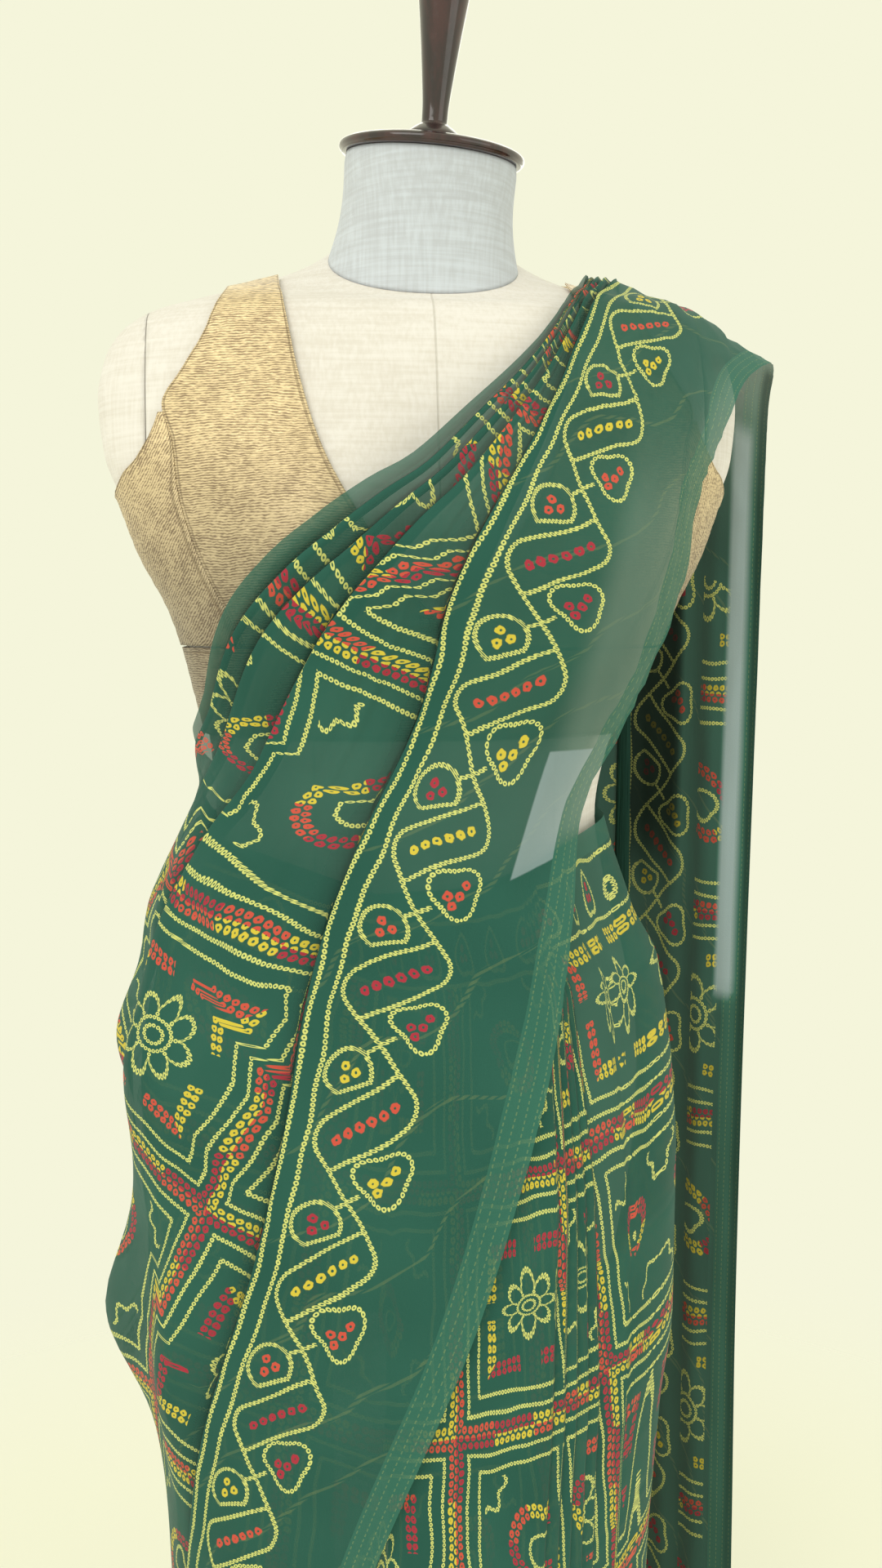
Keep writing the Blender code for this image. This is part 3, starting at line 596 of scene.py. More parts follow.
@dataclass(frozen=True)
class Lacquer:
    """Dark glossy lacquer over turned wood."""

    name: str
    light: Colour
    dark: Colour

    def make(self) -> Material:
        """Builds the material, with grain under the gloss and a little dust."""
        nodes = Nodes(self.name)
        place = nodes.object_place()
        grain = nodes.noise(nodes.stretched(place, (90.0, 90.0, 9.0)), 1.0, 5.0, 0.65)
        dust = nodes.noise(place, 160.0, 4.0)
        nodes.set(Base_Color=nodes.blend(grain.step(0.35, 0.7), self.dark, self.light),
                  Roughness=dust.step(0.4, 0.75) * 0.16 + 0.13, Coat_Weight=0.7, Coat_Roughness=0.08,
                  Normal=nodes.bump(grain, 0.0004, 0.12))
        return nodes.material


@dataclass(frozen=True)
class SatinSteel:
    """Black satin paint on steel."""

    name: str
    dark: Colour = (0.012, 0.012, 0.013)
    rubbed: Colour = (0.035, 0.034, 0.033)

    def make(self) -> Material:
        """Builds the material, with a fine orange-peel and rubbed patches."""
        nodes = Nodes(self.name)
        place = nodes.object_place()
        peel = nodes.noise(place, 900.0, 2.0)
        rub = nodes.noise(place, 28.0, 5.0)
        nodes.set(Base_Color=nodes.blend(rub.step(0.5, 0.75), self.dark, self.rubbed),
                  Roughness=rub.step(0.35, 0.7) * 0.14 + 0.30, Normal=nodes.bump(peel, 0.00015, 0.3))
        return nodes.material


@dataclass(frozen=True)
class StudioPaper:
    """Pale floor that fades into the pale surroundings."""

    colour: Colour
    solid: float = 0.75
    gone: float = 1.55

    def make(self) -> Material:
        """Builds the material."""
        nodes = Nodes("studio_paper")
        x, y, _ = nodes.split(nodes.object_place())
        far = (x * x + y * y).sqrt()
        tooth = nodes.noise(nodes.object_place(), 320.0, 3.0)
        nodes.set(Base_Color=nodes.blend(tooth, tuple(c * 0.985 for c in self.colour), self.colour),
                  Roughness=0.95, Alpha=far.step(self.gone, self.solid))
        return nodes.material


@dataclass(frozen=True)
class SoftLight:
    """A square soft light: its place, the length of its side, and its watts."""

    name: str
    place: Triple
    side: float
    watts: float


@dataclass
class Studio:
    """Camera, light and floor."""

    eye: Triple = (-0.0921, -0.9141, 1.178)
    look: Triple = (0.1124, 0.9862, -0.1219)
    lens: float = 30.0
    backdrop: Colour = (0.913, 0.913, 0.708)
    paper: Colour = (0.864, 0.864, 0.762)
    daylight: Colour = (1.0, 0.985, 0.955)
    chest: Triple = (0.0, 0.0, 1.05)
    floor_radius: float = 1.6
    floor_z: float = -0.0005
    lights: tuple[SoftLight, ...] = (SoftLight("key", (-1.5, -2.2, 2.5), 1.9, 26.0),
                                     SoftLight("fill", (1.9, -1.7, 1.7), 1.8, 8.0),
                                     SoftLight("back", (0.6, 2.2, 2.4), 2.0, 14.0))

    def build(self) -> None:
        """Adds the camera, the lights and the floor."""
        scene = bpy.context.scene
        camera = bpy.data.cameras.new("camera")
        camera.lens = self.lens
        camera.sensor_width = 36.0
        camera.clip_start = 0.05
        stand = bpy.data.objects.new("camera", camera)
        stand.location = self.eye
        stand.rotation_euler = Vector(self.look).to_track_quat("-Z", "Y").to_euler()
        scene.collection.objects.link(stand)
        scene.camera = stand
        scene.view_settings.view_transform = "Standard"
        self._world(scene)
        for light in self.lights:
            self._light(light)
        self._floor()

    def _world(self, scene: bpy.types.Scene) -> None:
        """Fills the surroundings with the backdrop's pale colour.

        Args:
            scene: The scene that they belong to.
        """
        world = bpy.data.worlds.new("surroundings")
        world.use_nodes = True
        ground = world.node_tree.nodes["Background"]
        ground.inputs["Color"].default_value = (*self.backdrop, 1.0)
        ground.inputs["Strength"].default_value = 1.0
        scene.world = world

    def _light(self, soft: SoftLight) -> None:
        """Adds one soft light that faces the form's chest.

        Args:
            soft: The light's sizes.
        """
        lamp = bpy.data.lights.new(soft.name, "AREA")
        lamp.size = soft.side
        lamp.energy = soft.watts
        lamp.color = self.daylight
        thing = bpy.data.objects.new(soft.name, lamp)
        thing.location = soft.place
        aim = Vector(self.chest) - Vector(soft.place)
        thing.rotation_euler = aim.to_track_quat("-Z", "Y").to_euler()
        bpy.context.scene.collection.objects.link(thing)

    def _floor(self) -> None:
        """Adds the round floor, which fades out."""
        shape = bmesh.new()
        bmesh.ops.create_circle(shape, cap_ends=True, segments=64, radius=self.floor_radius)
        mesh = bpy.data.meshes.new("floor")
        shape.to_mesh(mesh)
        shape.free()
        mesh.materials.append(StudioPaper(self.paper).make())
        floor = bpy.data.objects.new("floor", mesh)
        floor.location.z = self.floor_z
        bpy.context.scene.collection.objects.link(floor)


@dataclass
class FormShape:
    """The form's skin as a formula of angle and height, and the distance of points from it."""

    bust: Pair = (0.082, 1.222)
    bust_spread: Pair = (0.058, 0.052)
    bust_forward: float = 0.030
    hip_shift: float = -0.012
    shift_ends: Pair = (1.050, 1.190)
    around: int = 112
    tall: int = 116
    crown_density: float = 1.7
    tree: BVHTree = field(init=False, repr=False)

    def __post_init__(self) -> None:
        """Builds the tree that finds the nearest place on the skin."""
        shape = self.skin()
        self.tree = BVHTree.FromBMesh(shape)
        shape.free()

    def point(self, angle: Array, z: Array) -> Array:
        """Points of the skin.

        Args:
            angle: Angle in radians, 0 at the front and a quarter turn at the right.
            z: Height.

        Returns:
            The points, on a last axis of x, y, z.
        """
        angle, z = np.broadcast_arrays(np.asarray(angle, float), np.asarray(z, float))
        heights = FORM_SECTIONS[:, 0]
        half, front, back, slope = (smooth_table(z, heights, FORM_SECTIONS[:, k]) for k in range(1, 5))
        across, along = squared(angle)
        x = half * across
        y = -along * np.where(along > 0, front, back)
        side = np.exp(-((np.abs(x) - self.bust[0]) / self.bust_spread[0]) ** 2)
        rise = np.exp(-((z - self.bust[1]) / self.bust_spread[1]) ** 2)
        y = y - np.where(along > 0, self.bust_forward * side * rise * np.minimum(1.0, 3.0 * along), 0.0)
        x = x + self.hip_shift * (1.0 - smooth_step(*self.shift_ends, z))
        return np.stack((x, y, z + slope * y), axis=-1)

    def normal(self, angle: Array, z: Array) -> Array:
        """Outward directions of the skin.

        Args:
            angle: Angle in radians.
            z: Height.

        Returns:
            Directions of length 1.
        """
        along = self.point(angle + 0.01, z) - self.point(angle - 0.01, z)
        low = np.maximum(z - 0.0015, FORM_SECTIONS[0, 0])
        high = np.minimum(z + 0.0015, FORM_SECTIONS[-1, 0])
        out = np.cross(along, self.point(angle, high) - self.point(angle, low))
        return out / np.linalg.norm(out, axis=-1, keepdims=True)

    def offset(self, angle: Array, z: Array, out: Array | float) -> Array:
        """Points outside the skin.

        Args:
            angle: Angle in radians.
            z: Height on the skin.
            out: Distance from the skin.

        Returns:
            The points.
        """
        angle, z = np.broadcast_arrays(np.asarray(angle, float), np.asarray(z, float))
        return self.point(angle, z) + self.normal(angle, z) * np.asarray(out)[..., None]

    def angle(self, x: float, z: float, behind: bool = False) -> float:
        """The angle at which the form is a given distance wide of its middle.

        Args:
            x: The distance, negative to the left.
            z: Height.
            behind: Whether the place is on the back.

        Returns:
            The angle in radians.
        """
        half = float(smooth_table(np.array(z), FORM_SECTIONS[:, 0], FORM_SECTIONS[:, 1]))
        angle = math.asin(min(1.0, abs(x) / half) ** 1.1)
        return math.copysign(math.pi - angle if behind else angle, x)

    def skin(self) -> BMesh:
        """A closed skin of the whole trunk, with its rings closer together at the shoulders."""
        shape = bmesh.new()
        bmesh.ops.create_grid(shape, x_segments=self.around, y_segments=self.tall, size=0.5)
        corners = list(shape.verts)
        low, high = FORM_SECTIONS[0, 0], FORM_SECTIONS[-1, 0]
        places = np.array([corner.co[:] for corner in corners])
        angles = (places[:, 0] + 0.5) * 2.0 * math.pi
        share = places[:, 1] + 0.5
        heights = low + (high - low) * (1.0 - (1.0 - share) ** self.crown_density)
        for corner, place in zip(corners, self.point(angles, heights)):
            corner.co = place
        bmesh.ops.remove_doubles(shape, verts=shape.verts, dist=1e-5)
        bmesh.ops.holes_fill(shape, edges=[e for e in shape.edges if e.is_boundary], sides=0)
        bmesh.ops.recalc_face_normals(shape, faces=shape.faces)
        return shape

    def pushed_out(self, points: Array, least: Array | float, near: float = 0.03) -> Array:
        """Points, each moved out where it is nearer than least to the skin.

        Args:
            points: The points, in an array whose last axis is x, y, z.
            least: The least distance outside the skin.
            near: Points further than this from the skin are left alone.

        Returns:
            The moved points.
        """
        flat = points.reshape(-1, 3)
        wanted = np.broadcast_to(np.asarray(least, float), points.shape[:-1]).reshape(-1)
        moved = flat.copy()
        for i, point in enumerate(flat):
            place, normal, _, _ = self.tree.find_nearest(Vector(point), near)
            if place is None:
                continue
            outside = (Vector(point) - place).dot(normal)
            if outside < wanted[i]:
                moved[i] = point + np.array(normal) * (wanted[i] - outside)
        return moved.reshape(points.shape)


@dataclass
class Drape:
    """The middle surface of the whole sari, station by station along its length.

    Angles are in degrees. A swag is its angle and height, its rise, and its spread round and up. The steps
    along are those over the shoulder, behind it and in front. A pleat's two numbers are for waist and hem.
    """

    form: FormShape
    border_across: int = 26
    rest_across: int = 80
    waist_z: float = 1.045
    waist_dip: float = 0.035
    dip_angle: Pair = (4.0, 38.0)
    hem_z: float = 0.011
    cloth_width: float = 1.12
    border_width: float = 0.152
    fold_depth: float = 0.0030
    fold_tuck: float = 0.0140
    fold_bulge: float = 0.0011
    widest_tuck: float = 0.42
    strip_gap: float = 0.004
    shadow_reach: float = 0.0080
    bend_nodes: int = 6
    strip_nodes: tuple[int, int, int, int] = (36, 26, 22, 20)
    pleats: int = 5
    first_pleat: Pair = (0.046, 0.050)
    pleat_step: Pair = (0.004, 0.022)
    pleat_width: Pair = (0.080, 0.105)
    last_pleat: Pair = (0.085, 0.160)
    pleat_inset: float = 0.0016
    left_turn: tuple[float, float, int] = (-162.0, -58.0, 15)
    right_turn: tuple[Four, ...] = ((54.0, 56.0, 0.0, 0.9), (70.0, 74.0, 0.0, 0.6), (90.0, 93.0, 0.0, 0.2),
                                    (108.0, 113.5, 0.0, 0.0))
    stack_at_hem: float = 0.0300
    stack_at_waist: float = 0.0165
    stack_spread: Four = (-105.0, -32.0, 24.0, 56.0)
    stack_top: float = 0.75
    swags: tuple[tuple[float, ...], ...] = ((-84.0, 0.892, 0.018, 30.0, 0.024),
                                            (-82.0, 0.698, 0.025, 34.0, 0.028))
    folds_behind: Four = (0.36, 0.62, 0.82, 1.0)
    high_z: float = 1.30
    steps_along: Triple = (0.006, 0.0125, 0.0095)
    clear_of_form: float = 0.0098
    least_clear: float = 0.0045
    inside_depth: float = 0.0080
    fine_crease: float = 0.0011
    ridge_height: float = 0.006
    panel_wave: float = 0.0016
    fall_wave: float = 0.007
    hem_swing: float = 0.0035

    def body_point(self, angle: Array, z: Array, out: Array | float) -> Array:
        """Points of the draped body.

        Args:
            angle: Angle in degrees, 0 at the front.
            z: Height.
            out: Distance outside the body's sections.

        Returns:
            The points.
        """
        angle, z, out = np.broadcast_arrays(*(np.asarray(v, float) for v in (angle, z, out)))
        heights = DRAPE_SECTIONS[:, 0]
        half, middle, front, back = (smooth_table(z, heights, DRAPE_SECTIONS[:, k]) for k in range(1, 5))
        across, along = squared(np.radians(angle))
        depth = np.where(along > 0, front, back)
        return np.stack((middle + (half + out) * across, -(depth + out) * along, z), axis=-1)

    def pleat_lift(self, z: Array) -> Array:
        """Thickness of the stack of pleats, which is looser at the hem."""
        change = self.stack_at_waist - self.stack_at_hem
        return self.stack_at_hem + change * smooth_step(self.hem_z, self.stack_top, z)

    def stack_share(self, angle: Array) -> Array:
        """Share of the stack's full height at an angle in degrees round the front."""
        return plateau(from_front(angle), *self.stack_spread)

    def over_pleats(self, angle: Array, z: Array) -> Array:
        """How far the last turn stands off the body, over the pleats and in its swags at the left hip.

        Args:
            angle: Angle in degrees.
            z: Height.

        Returns:
            The distance.
        """
        below = 1.0 - smooth_step(self.waist_z + 0.004, self.waist_z + 0.060, z)
        lift = self.pleat_lift(z) * self.stack_share(angle) * below
        for turn, height, rise, spread, spread_z in self.swags:
            lift = lift + rise * np.exp(-((angle - turn) / spread) ** 2 - ((z - height) / spread_z) ** 2)
        return lift

    def waist_height(self, angle: Array) -> Array:
        """Height of the skirt's top edge, which dips at the front."""
        turn, spread = self.dip_angle
        return self.waist_z - self.waist_dip * np.exp(-((from_front(angle) - turn) / spread) ** 2)

    def carriers(self) -> tuple[Array, Array]:
        """Rows of points across the last turn for each table row, and each row's fold numbers."""
        border = np.linspace(0.0, 1.0, self.border_across, endpoint=False)[:, None]
        rest = np.linspace(0.0, 1.0, self.rest_across + 1)[:, None]
        rows, folds = [], []
        for row in LAST_TURN:
            low, fold, top = row[0:2], row[2:4], row[4:6]
            turn = np.concatenate((low + (fold - low) * border, fold + (top - fold) * rest))
            rows.append(self.body_point(turn[:, 0], turn[:, 1], self.over_pleats(turn[:, 0], turn[:, 1])))
            folds.append(row[6:10])
        for row in PALLU:
            low, fold, top = row[0:3], row[3:6], row[6:9]
            rows.append(np.concatenate((low + (fold - low) * border, fold + (top - fold) * rest)))
            folds.append(np.array(self.folds_behind))
        return np.array(rows), np.array(folds)

    def stations(self, rows: Array) -> Array:
        """The fine stations along the last turn, closest over the shoulder.

        Args:
            rows: Points of the table's rows.

        Returns:
            Row numbers, which may lie between rows.
        """
        lengths = np.linalg.norm(np.diff(rows, axis=0), axis=2).mean(axis=1)
        over_shoulder, behind, front = self.steps_along
        places: list[float] = []
        for i, length in enumerate(lengths):
            high = max(rows[i][:, 2].mean(), rows[i + 1][:, 2].mean()) > self.high_z
            step = over_shoulder if high else behind if i > len(LAST_TURN) else front
            count = max(2, round(length / step))
            places += [i + j / count for j in range(count)]
        return np.array(places + [float(len(lengths))])

    def section(self, run: Array, places: Array, share: float) -> tuple[Array, ...]:
        """The section across the cloth at one station.

        Each fold turns back under the strip beside it and out again, so a strip's edge lies on the next.

        Args:
            run: Distances of the carrier's points from the lower selvage.
            places: Shares of the way from border fold to upper selvage at which three folds lie.
            share: How full the folds are.

        Returns:
            Distance across the carrier, depth below it, one where the cloth is tucked under, and how much
            of its light the fold above takes from it.
        """
        border = run[self.border_across]
        edges = [border] + [border + (run[-1] - border) * p for p in places]
        ends = edges[1:] + [run[-1]]
        full = float(smooth_step(0.05, 0.75, share))
        depth = self.fold_depth * full
        flat = np.zeros(self.border_across)
        across = [np.linspace(0.0, border - self.strip_gap, self.border_across)]
        deep, tucked, dim = [flat], [flat], [flat]
        swing = np.linspace(0.0, math.pi, self.bend_nodes)
        to_go = 1 - swing / math.pi
        bulge = self.fold_bulge * full * (1.0 - np.sin(swing))
        turned_under = np.where(swing > 1.2, 1.0, 0.0)
        all_under = np.ones(self.bend_nodes)
        for edge, end, count in zip(edges, ends, self.strip_nodes):
            tuck = min(self.fold_tuck, self.widest_tuck * (end - edge)) * full - 0.006 * (1.0 - full)
            first = edge - bulge - 0.0035 * (1.0 - full) * to_go
            second = edge - tuck + bulge - 0.0015 * (1 - full) * to_go
            share_out = np.linspace(0.0, 1.0, count + 1)[1:]
            start = second[-1]
            strip = start + (end - self.strip_gap * (end < run[-1]) - start) * share_out
            out = np.clip((strip - edge) / max(end - edge, 1e-6), 0.0, 1.0)
            across += [first, second, strip]
            deep += [depth * 0.25 * (1 - np.cos(swing)), depth * (0.5 + 0.25 * (1 - np.cos(swing))),
                     depth * (1.0 - out) ** 1.4]
            tucked += [turned_under, all_under, np.where(strip < edge, 1.0, 0.0)]
            beside = np.exp(-np.maximum(strip - edge, 0.0) / self.shadow_reach)
            dim += [full * turned_under, full * all_under, full * beside]
        return tuple(np.concatenate(part) for part in (across, deep, tucked, dim))

    def last_turn(self) -> tuple[Array, Array, Array]:
        """The last turn and the fall.

        Returns:
            Its points, the cloth's own coordinate across it, and for each point how far it is tucked under
            and how much of its light the fold above takes.
        """
        rows, folds = self.carriers()
        places = self.stations(rows)
        fine = self.form.pushed_out(catmull(rows, places), self.clear_of_form)
        folds = catmull(folds, places)
        normal = np.cross(np.gradient(fine, axis=0), np.gradient(fine, axis=1))
        normal /= np.linalg.norm(normal, axis=2, keepdims=True)
        points, cross, hidden = [], [], []
        for i, row in enumerate(fine):
            run = np.concatenate(([0.0], np.cumsum(np.linalg.norm(np.diff(row, axis=0), axis=1))))
            across, deep, tucked, dim = self.section(run, folds[i, :3], float(np.clip(folds[i, 3], 0, 1)))
            place = np.stack([np.interp(across, run, row[:, k]) for k in range(3)], axis=1)
            out = np.stack([np.interp(across, run, normal[i, :, k]) for k in range(3)], axis=1)
            out /= np.linalg.norm(out, axis=1, keepdims=True)
            points.append(place + out * (self.creases(places[i], across, run, folds[i]) - deep)[:, None])
            cross.append(self.cloth_across(across, tucked, run))
            hidden.append(np.stack((tucked * (folds[i, 3] > 0.30), dim), axis=1))
        points = self.form.pushed_out(np.array(points), self.least_clear)
        return points, np.array(cross), np.array(hidden)

    def creases(self, place: float, across: Array, run: Array, folds: Array) -> Array:
        """Height of the soft creases that run along the cloth, at one station.

        Args:
            place: The station's row number.
            across: Distances of the section's points across the carrier.
            run: Distances of the carrier's points from the lower selvage.
            folds: The places of the three folds, and how full they are.

        Returns:
            The height at each point of the section.
        """
        share = across / run[-1]
        strip = (across - run[self.border_across]) / (run[-1] - run[self.border_across])
        front = smooth_step(5.0, 9.0, place) * (1.0 - smooth_step(19.5, 21.5, place) * 0.5)
        height = self.fine_crease * waves(strip * 26.0 + 0.35 * math.sin(place * 0.7), 3) * front
        soft = 0.45 * folds[0] * smooth_step(7.0, 12.0, place) * (1.0 - smooth_step(13.0, 15.0, place))
        ridge = np.exp(-((strip - 0.42 * folds[0]) / 0.035) ** 2)
        groove = np.exp(-((strip - 0.52 * folds[0]) / 0.05) ** 2)
        height = height + self.ridge_height * soft * (ridge - groove)
        panel = self.panel_wave * waves(share * 9.0 + place * 0.35, 5)
        panel = panel * (1.0 - smooth_step(17.0, 19.0, place))
        fall = smooth_step(22.5, 25.0, place) * self.fall_wave * waves(share * 13.0 + place * 0.12, 8)
        return height + panel * smooth_step(-0.5, 1.5, place) + fall

    def cloth_across(self, across: Array, tucked: Array, run: Array) -> Array:
        """The cloth's own coordinate across it, tucks counted in full.

        Args:
            across: Distances of the section's points across the carrier.
            tucked: One where the cloth is tucked under.
            run: Distances of the carrier's points from the lower selvage.

        Returns:
            The coordinate of each point, from 0 at the lower selvage.
        """
        border = run[self.border_across]
        steps = np.abs(np.diff(across)) + 1e-7
        hidden = (tucked[1:] + tucked[:-1]) > 0.5
        lower = np.arange(len(steps)) < self.border_across
        scale = np.ones_like(steps)
        scale[lower] = self.border_width / max(border, 1e-6)
        shown = steps[~hidden & ~lower].sum()
        folded = steps[hidden & ~lower].sum()
        wanted = self.cloth_width - self.border_width
        spare = max(0.0, wanted - shown)
        stretch = spare / max(folded, 1e-6) if folded > 0.02 else 1.0
        scale[hidden & ~lower] = stretch
        total = (steps * scale)[~lower].sum()
        scale[~lower & ~hidden] *= 1.0 + (wanted - total) / max(shown, 1e-6)
        return np.concatenate(([0.0], np.cumsum(steps * scale)))

    def skirt_stations(self) -> Array:
        """The stations of the first turn and the pleats.

        Returns:
            Rows of the angle at the waist, the angle at the hem, the share of the stack's height below it,
            and how far inside the last turn it lies.
        """
        table: list[Four] = []
        for angle in np.linspace(*self.left_turn):
            table.append((angle, angle, float(self.stack_share(angle)), 1.0))
        layers = 2 * self.pleats
        for layer in range(layers + 1):
            pleat = layer // 2
            right = [edge + step * pleat for edge, step in zip(self.first_pleat, self.pleat_step)]
            left = [edge - width for edge, width in zip(right, self.pleat_width)]
            before = [edge - step for edge, step in zip(left, self.pleat_step)]
            start, end = (right, left) if layer % 2 else (before, right)
            end = self.last_pleat if layer == layers else end
            inset = self.pleat_inset * (1 if end[0] > start[0] else -1)
            for t in np.linspace(0.0, 1.0, 8):
                wide = [a + inset + (b - a - 2 * inset) * t for a, b in zip(start, end)]
                table.append((*self.pleat_angles(wide), 1.0 - layer / layers, 1.0))
            if layer < layers:
                table.append((*self.pleat_angles(end), 1.0 - (layer + 0.5) / layers, 1.0))
        ends = np.array((table[-1], *self.right_turn))
        table += [tuple(row) for row in catmull(ends, np.linspace(0.0, len(self.right_turn), 24)[1:-1])]
        return np.array(table)

    def pleat_angles(self, wide: Sequence[float]) -> Pair:
        """The angles at waist and hem of a line that lies two distances wide of the middle."""
        return self.front_angle(wide[0], self.waist_z), self.front_angle(wide[1], self.hem_z)

    def front_angle(self, x: float, z: float) -> float:
        """The angle at which the draped body's front is a given distance wide of the middle.

        Args:
            x: The distance, negative to the left.
            z: Height.

        Returns:
            The angle in degrees.
        """
        half, middle = (float(np.interp(z, DRAPE_SECTIONS[:, 0], DRAPE_SECTIONS[:, k])) for k in (1, 2))
        ratio = min(1.0, abs(x - middle) / half)
        return math.copysign(math.degrees(math.asin(ratio ** 1.1)), x - middle)

    def skirt(self, shares: Array) -> Array:
        """Points of the first turn and the pleats.

        Args:
            shares: Shares of the height, from 0 at the hem to 1 at the waist.

        Returns:
            The points, station by station.
        """
        table = self.skirt_stations()
        waist, hem, stack, inside = (table[:, k][:, None] for k in range(4))
        z = self.hem_z + (self.waist_height(waist) - self.hem_z) * shares[None, :]
        angle = hem + (waist - hem) * shares[None, :]
        out = self.pleat_lift(z) * stack - self.inside_depth * inside
        drop = 1.0 - shares[None, :]
        swing = waves(np.radians(angle) * 4.0 + 1.0, 12) * self.hem_swing * drop
        return self.body_point(angle, z, out + swing * (1.0 - self.stack_share(angle)))


@dataclass
class Sari:
    """The sari as one fine sheet with the cloth's own coordinates.

    The fields that hold two or four numbers are the ends of soft steps: shares of the cloth's length,
    distances from the lower selvage, and heights.
    """

    drape: Drape
    behind_y: float = 0.03
    fall_start: float = 0.80
    pleat: Pair = (0.0300, 0.0600)
    pleat_moved: float = 0.2150
    gathered: float = 1.2
    gathered_from: float = 0.72
    # From fall_from on: a pale strip painted on the fall, and painted shade on a strip inside, the rim and
    # the whole fall.
    fall_from: Pair = (0.745, 0.755)
    bare_strip: Four = (0.0110, 0.0130, 0.0290, 0.0310)
    bare_above: Pair = (0.86, 0.88)
    painted_shade_strip: Four = (0.076, 0.084, 0.145, 0.165)
    painted_shade_heights: Four = (0.90, 1.02, 1.27, 1.33)
    rim_from: float = 0.70
    rim_y: Pair = (0.0, 0.02)
    rim_edge: Pair = (0.0100, 0.0120)
    shades: Triple = (0.94, 0.60, 0.28)

    def build(self, georgette: Material) -> Object:
        """Makes the sheet and its coordinates.

        Args:
            georgette: Its finish.

        Returns:
            The piece.
        """
        turn, cross, hidden = self.drape.last_turn()
        first = turn[0, :, 2]
        shares = (first - first[0]) / (first[-1] - first[0])
        skirt = self.drape.skirt(shares)
        points = np.concatenate((skirt, turn))
        cross = np.concatenate((np.repeat(cross[:1], len(skirt), axis=0), cross))
        hidden = np.concatenate((np.zeros((len(skirt), *hidden.shape[1:])), hidden))
        piece = self._sheet(points, cross, hidden, georgette)
        return piece

    def _sheet(self, points: Array, cross: Array, hidden: Array,
               material: Material) -> Object:
        """Lays a grid of faces over the points and keeps the cloth's coordinates on it.

        Args:
            points: Points, station by station.
            cross: The cloth's own coordinate across it.
            hidden: How far each point is tucked under, and how dim it is.
            material: The sheet's finish.

        Returns:
            The piece.
        """
        long, wide = points.shape[:2]
        shape = bmesh.new()
        bmesh.ops.create_grid(shape, x_segments=long - 1, y_segments=wide - 1, size=0.5)
        along = self._cloth_along(points)
        layer = shape.loops.layers.uv.new("cloth")
        deep = shape.verts.layers.float.new("layers")
        under, dim, tint = (shape.verts.layers.float.new(name) for name in ("tucked", "shade", "tone"))
        tone = self._tone(points, cross)
        thick = self._layers(points)
        places: dict[int, tuple[int, int]] = {}
        for corner in shape.verts:
            i = round((corner.co.x + 0.5) * (long - 1))
            j = round((corner.co.y + 0.5) * (wide - 1))
            places[corner.index] = (i, j)
            corner.co = points[i, j]
            corner[deep] = thick[i]
            corner[under], corner[dim] = hidden[i, j]
            corner[tint] = tone[i, j]
        low, high = self.pleat
        for face in shape.faces:
            spots = [places[corner.index] for corner in face.verts]
            middle = sum(cross[spot] for spot in spots) / len(spots)
            fallen = spots[0][0] > self.fall_start * long and points[spots[0]][1] > self.behind_y
            behind = fallen and low < middle < high
            for loop, spot in zip(face.loops, spots):
                loop[layer].uv = (along[spot], cross[spot] + self.pleat_moved * behind)
        return finish_piece("sari_cloth", shape, material, ["sari"])

    def _tone(self, points: Array, cross: Array) -> Array:
        """Where the fall behind the shoulder is painted bare and pale, and where it is painted in deep shade.

        Args:
            points: Points, station by station.
            cross: The cloth's own coordinate across it.

        Returns:
            Up to 1 where it is painted bare, and down to -1 where its painted shade is darkest.
        """
        height = points[..., 2]
        place = np.arange(len(points))[:, None] / len(points)
        fall = smooth_step(*self.fall_from, place) * (points[..., 1] > self.behind_y)
        gap = fall * plateau(cross, *self.bare_strip) * smooth_step(*self.bare_above, height)
        inner = fall * plateau(cross, *self.painted_shade_strip) * plateau(height, *self.painted_shade_heights)
        rim = smooth_step(*self.rim_y, points[..., 1]) * (place > self.rim_from)
        rim = rim * (1.0 - smooth_step(*self.rim_edge, cross))
        parts = (share * part for share, part in zip(self.shades, (inner, rim, fall)))
        return gap - np.maximum.reduce(list(parts)) * (1.0 - gap)

    def _layers(self, points: Array) -> Array:
        """How many layers of cloth each station stands for, more in the gathered fall behind."""
        place = np.arange(len(points)) / len(points)
        return 1.0 + self.gathered * smooth_step(self.gathered_from, self.fall_start, place)

    def _cloth_along(self, points: Array) -> Array:
        """The cloth's own coordinate along it, measured on the border fold and square to it.

        Args:
            points: Points, station by station.

        Returns:
            The coordinate of each point.
        """
        edge = self.drape.border_across
        step = np.linalg.norm(np.diff(points[:, edge], axis=0), axis=1)
        base = np.concatenate(([0.0], np.cumsum(step)))
        ahead = np.gradient(points, axis=0)
        ahead /= np.maximum(np.linalg.norm(ahead, axis=2, keepdims=True), 1e-9)
        gap = np.diff(points, axis=1)
        slide = (gap * (ahead[:, 1:] + ahead[:, :-1]) * 0.5).sum(axis=2)
        total = np.concatenate((np.zeros((len(points), 1)), np.cumsum(slide, axis=1)), axis=1)
        return base[:, None] + total - total[:, edge:edge + 1]


def wrapped(rows: Array) -> BMesh:
    """A closed skin through rings of points, the first point of a ring following on its last.

    Args:
        rows: Rings of points, from the bottom up. The first and the last get an end face.

    Returns:
        The mesh.
    """
    tall, around = rows.shape[:2]
    shape = bmesh.new()
    bmesh.ops.create_grid(shape, x_segments=around, y_segments=tall - 1, size=0.5)
    for corner in shape.verts:
        i = round((corner.co.y + 0.5) * (tall - 1))
        j = round((corner.co.x + 0.5) * around) % around
        corner.co = rows[i, j]
    bmesh.ops.remove_doubles(shape, verts=shape.verts, dist=1e-6)
    bmesh.ops.holes_fill(shape, edges=[e for e in shape.edges if e.is_boundary], sides=0)
    bmesh.ops.recalc_face_normals(shape, faces=shape.faces)
    return shape


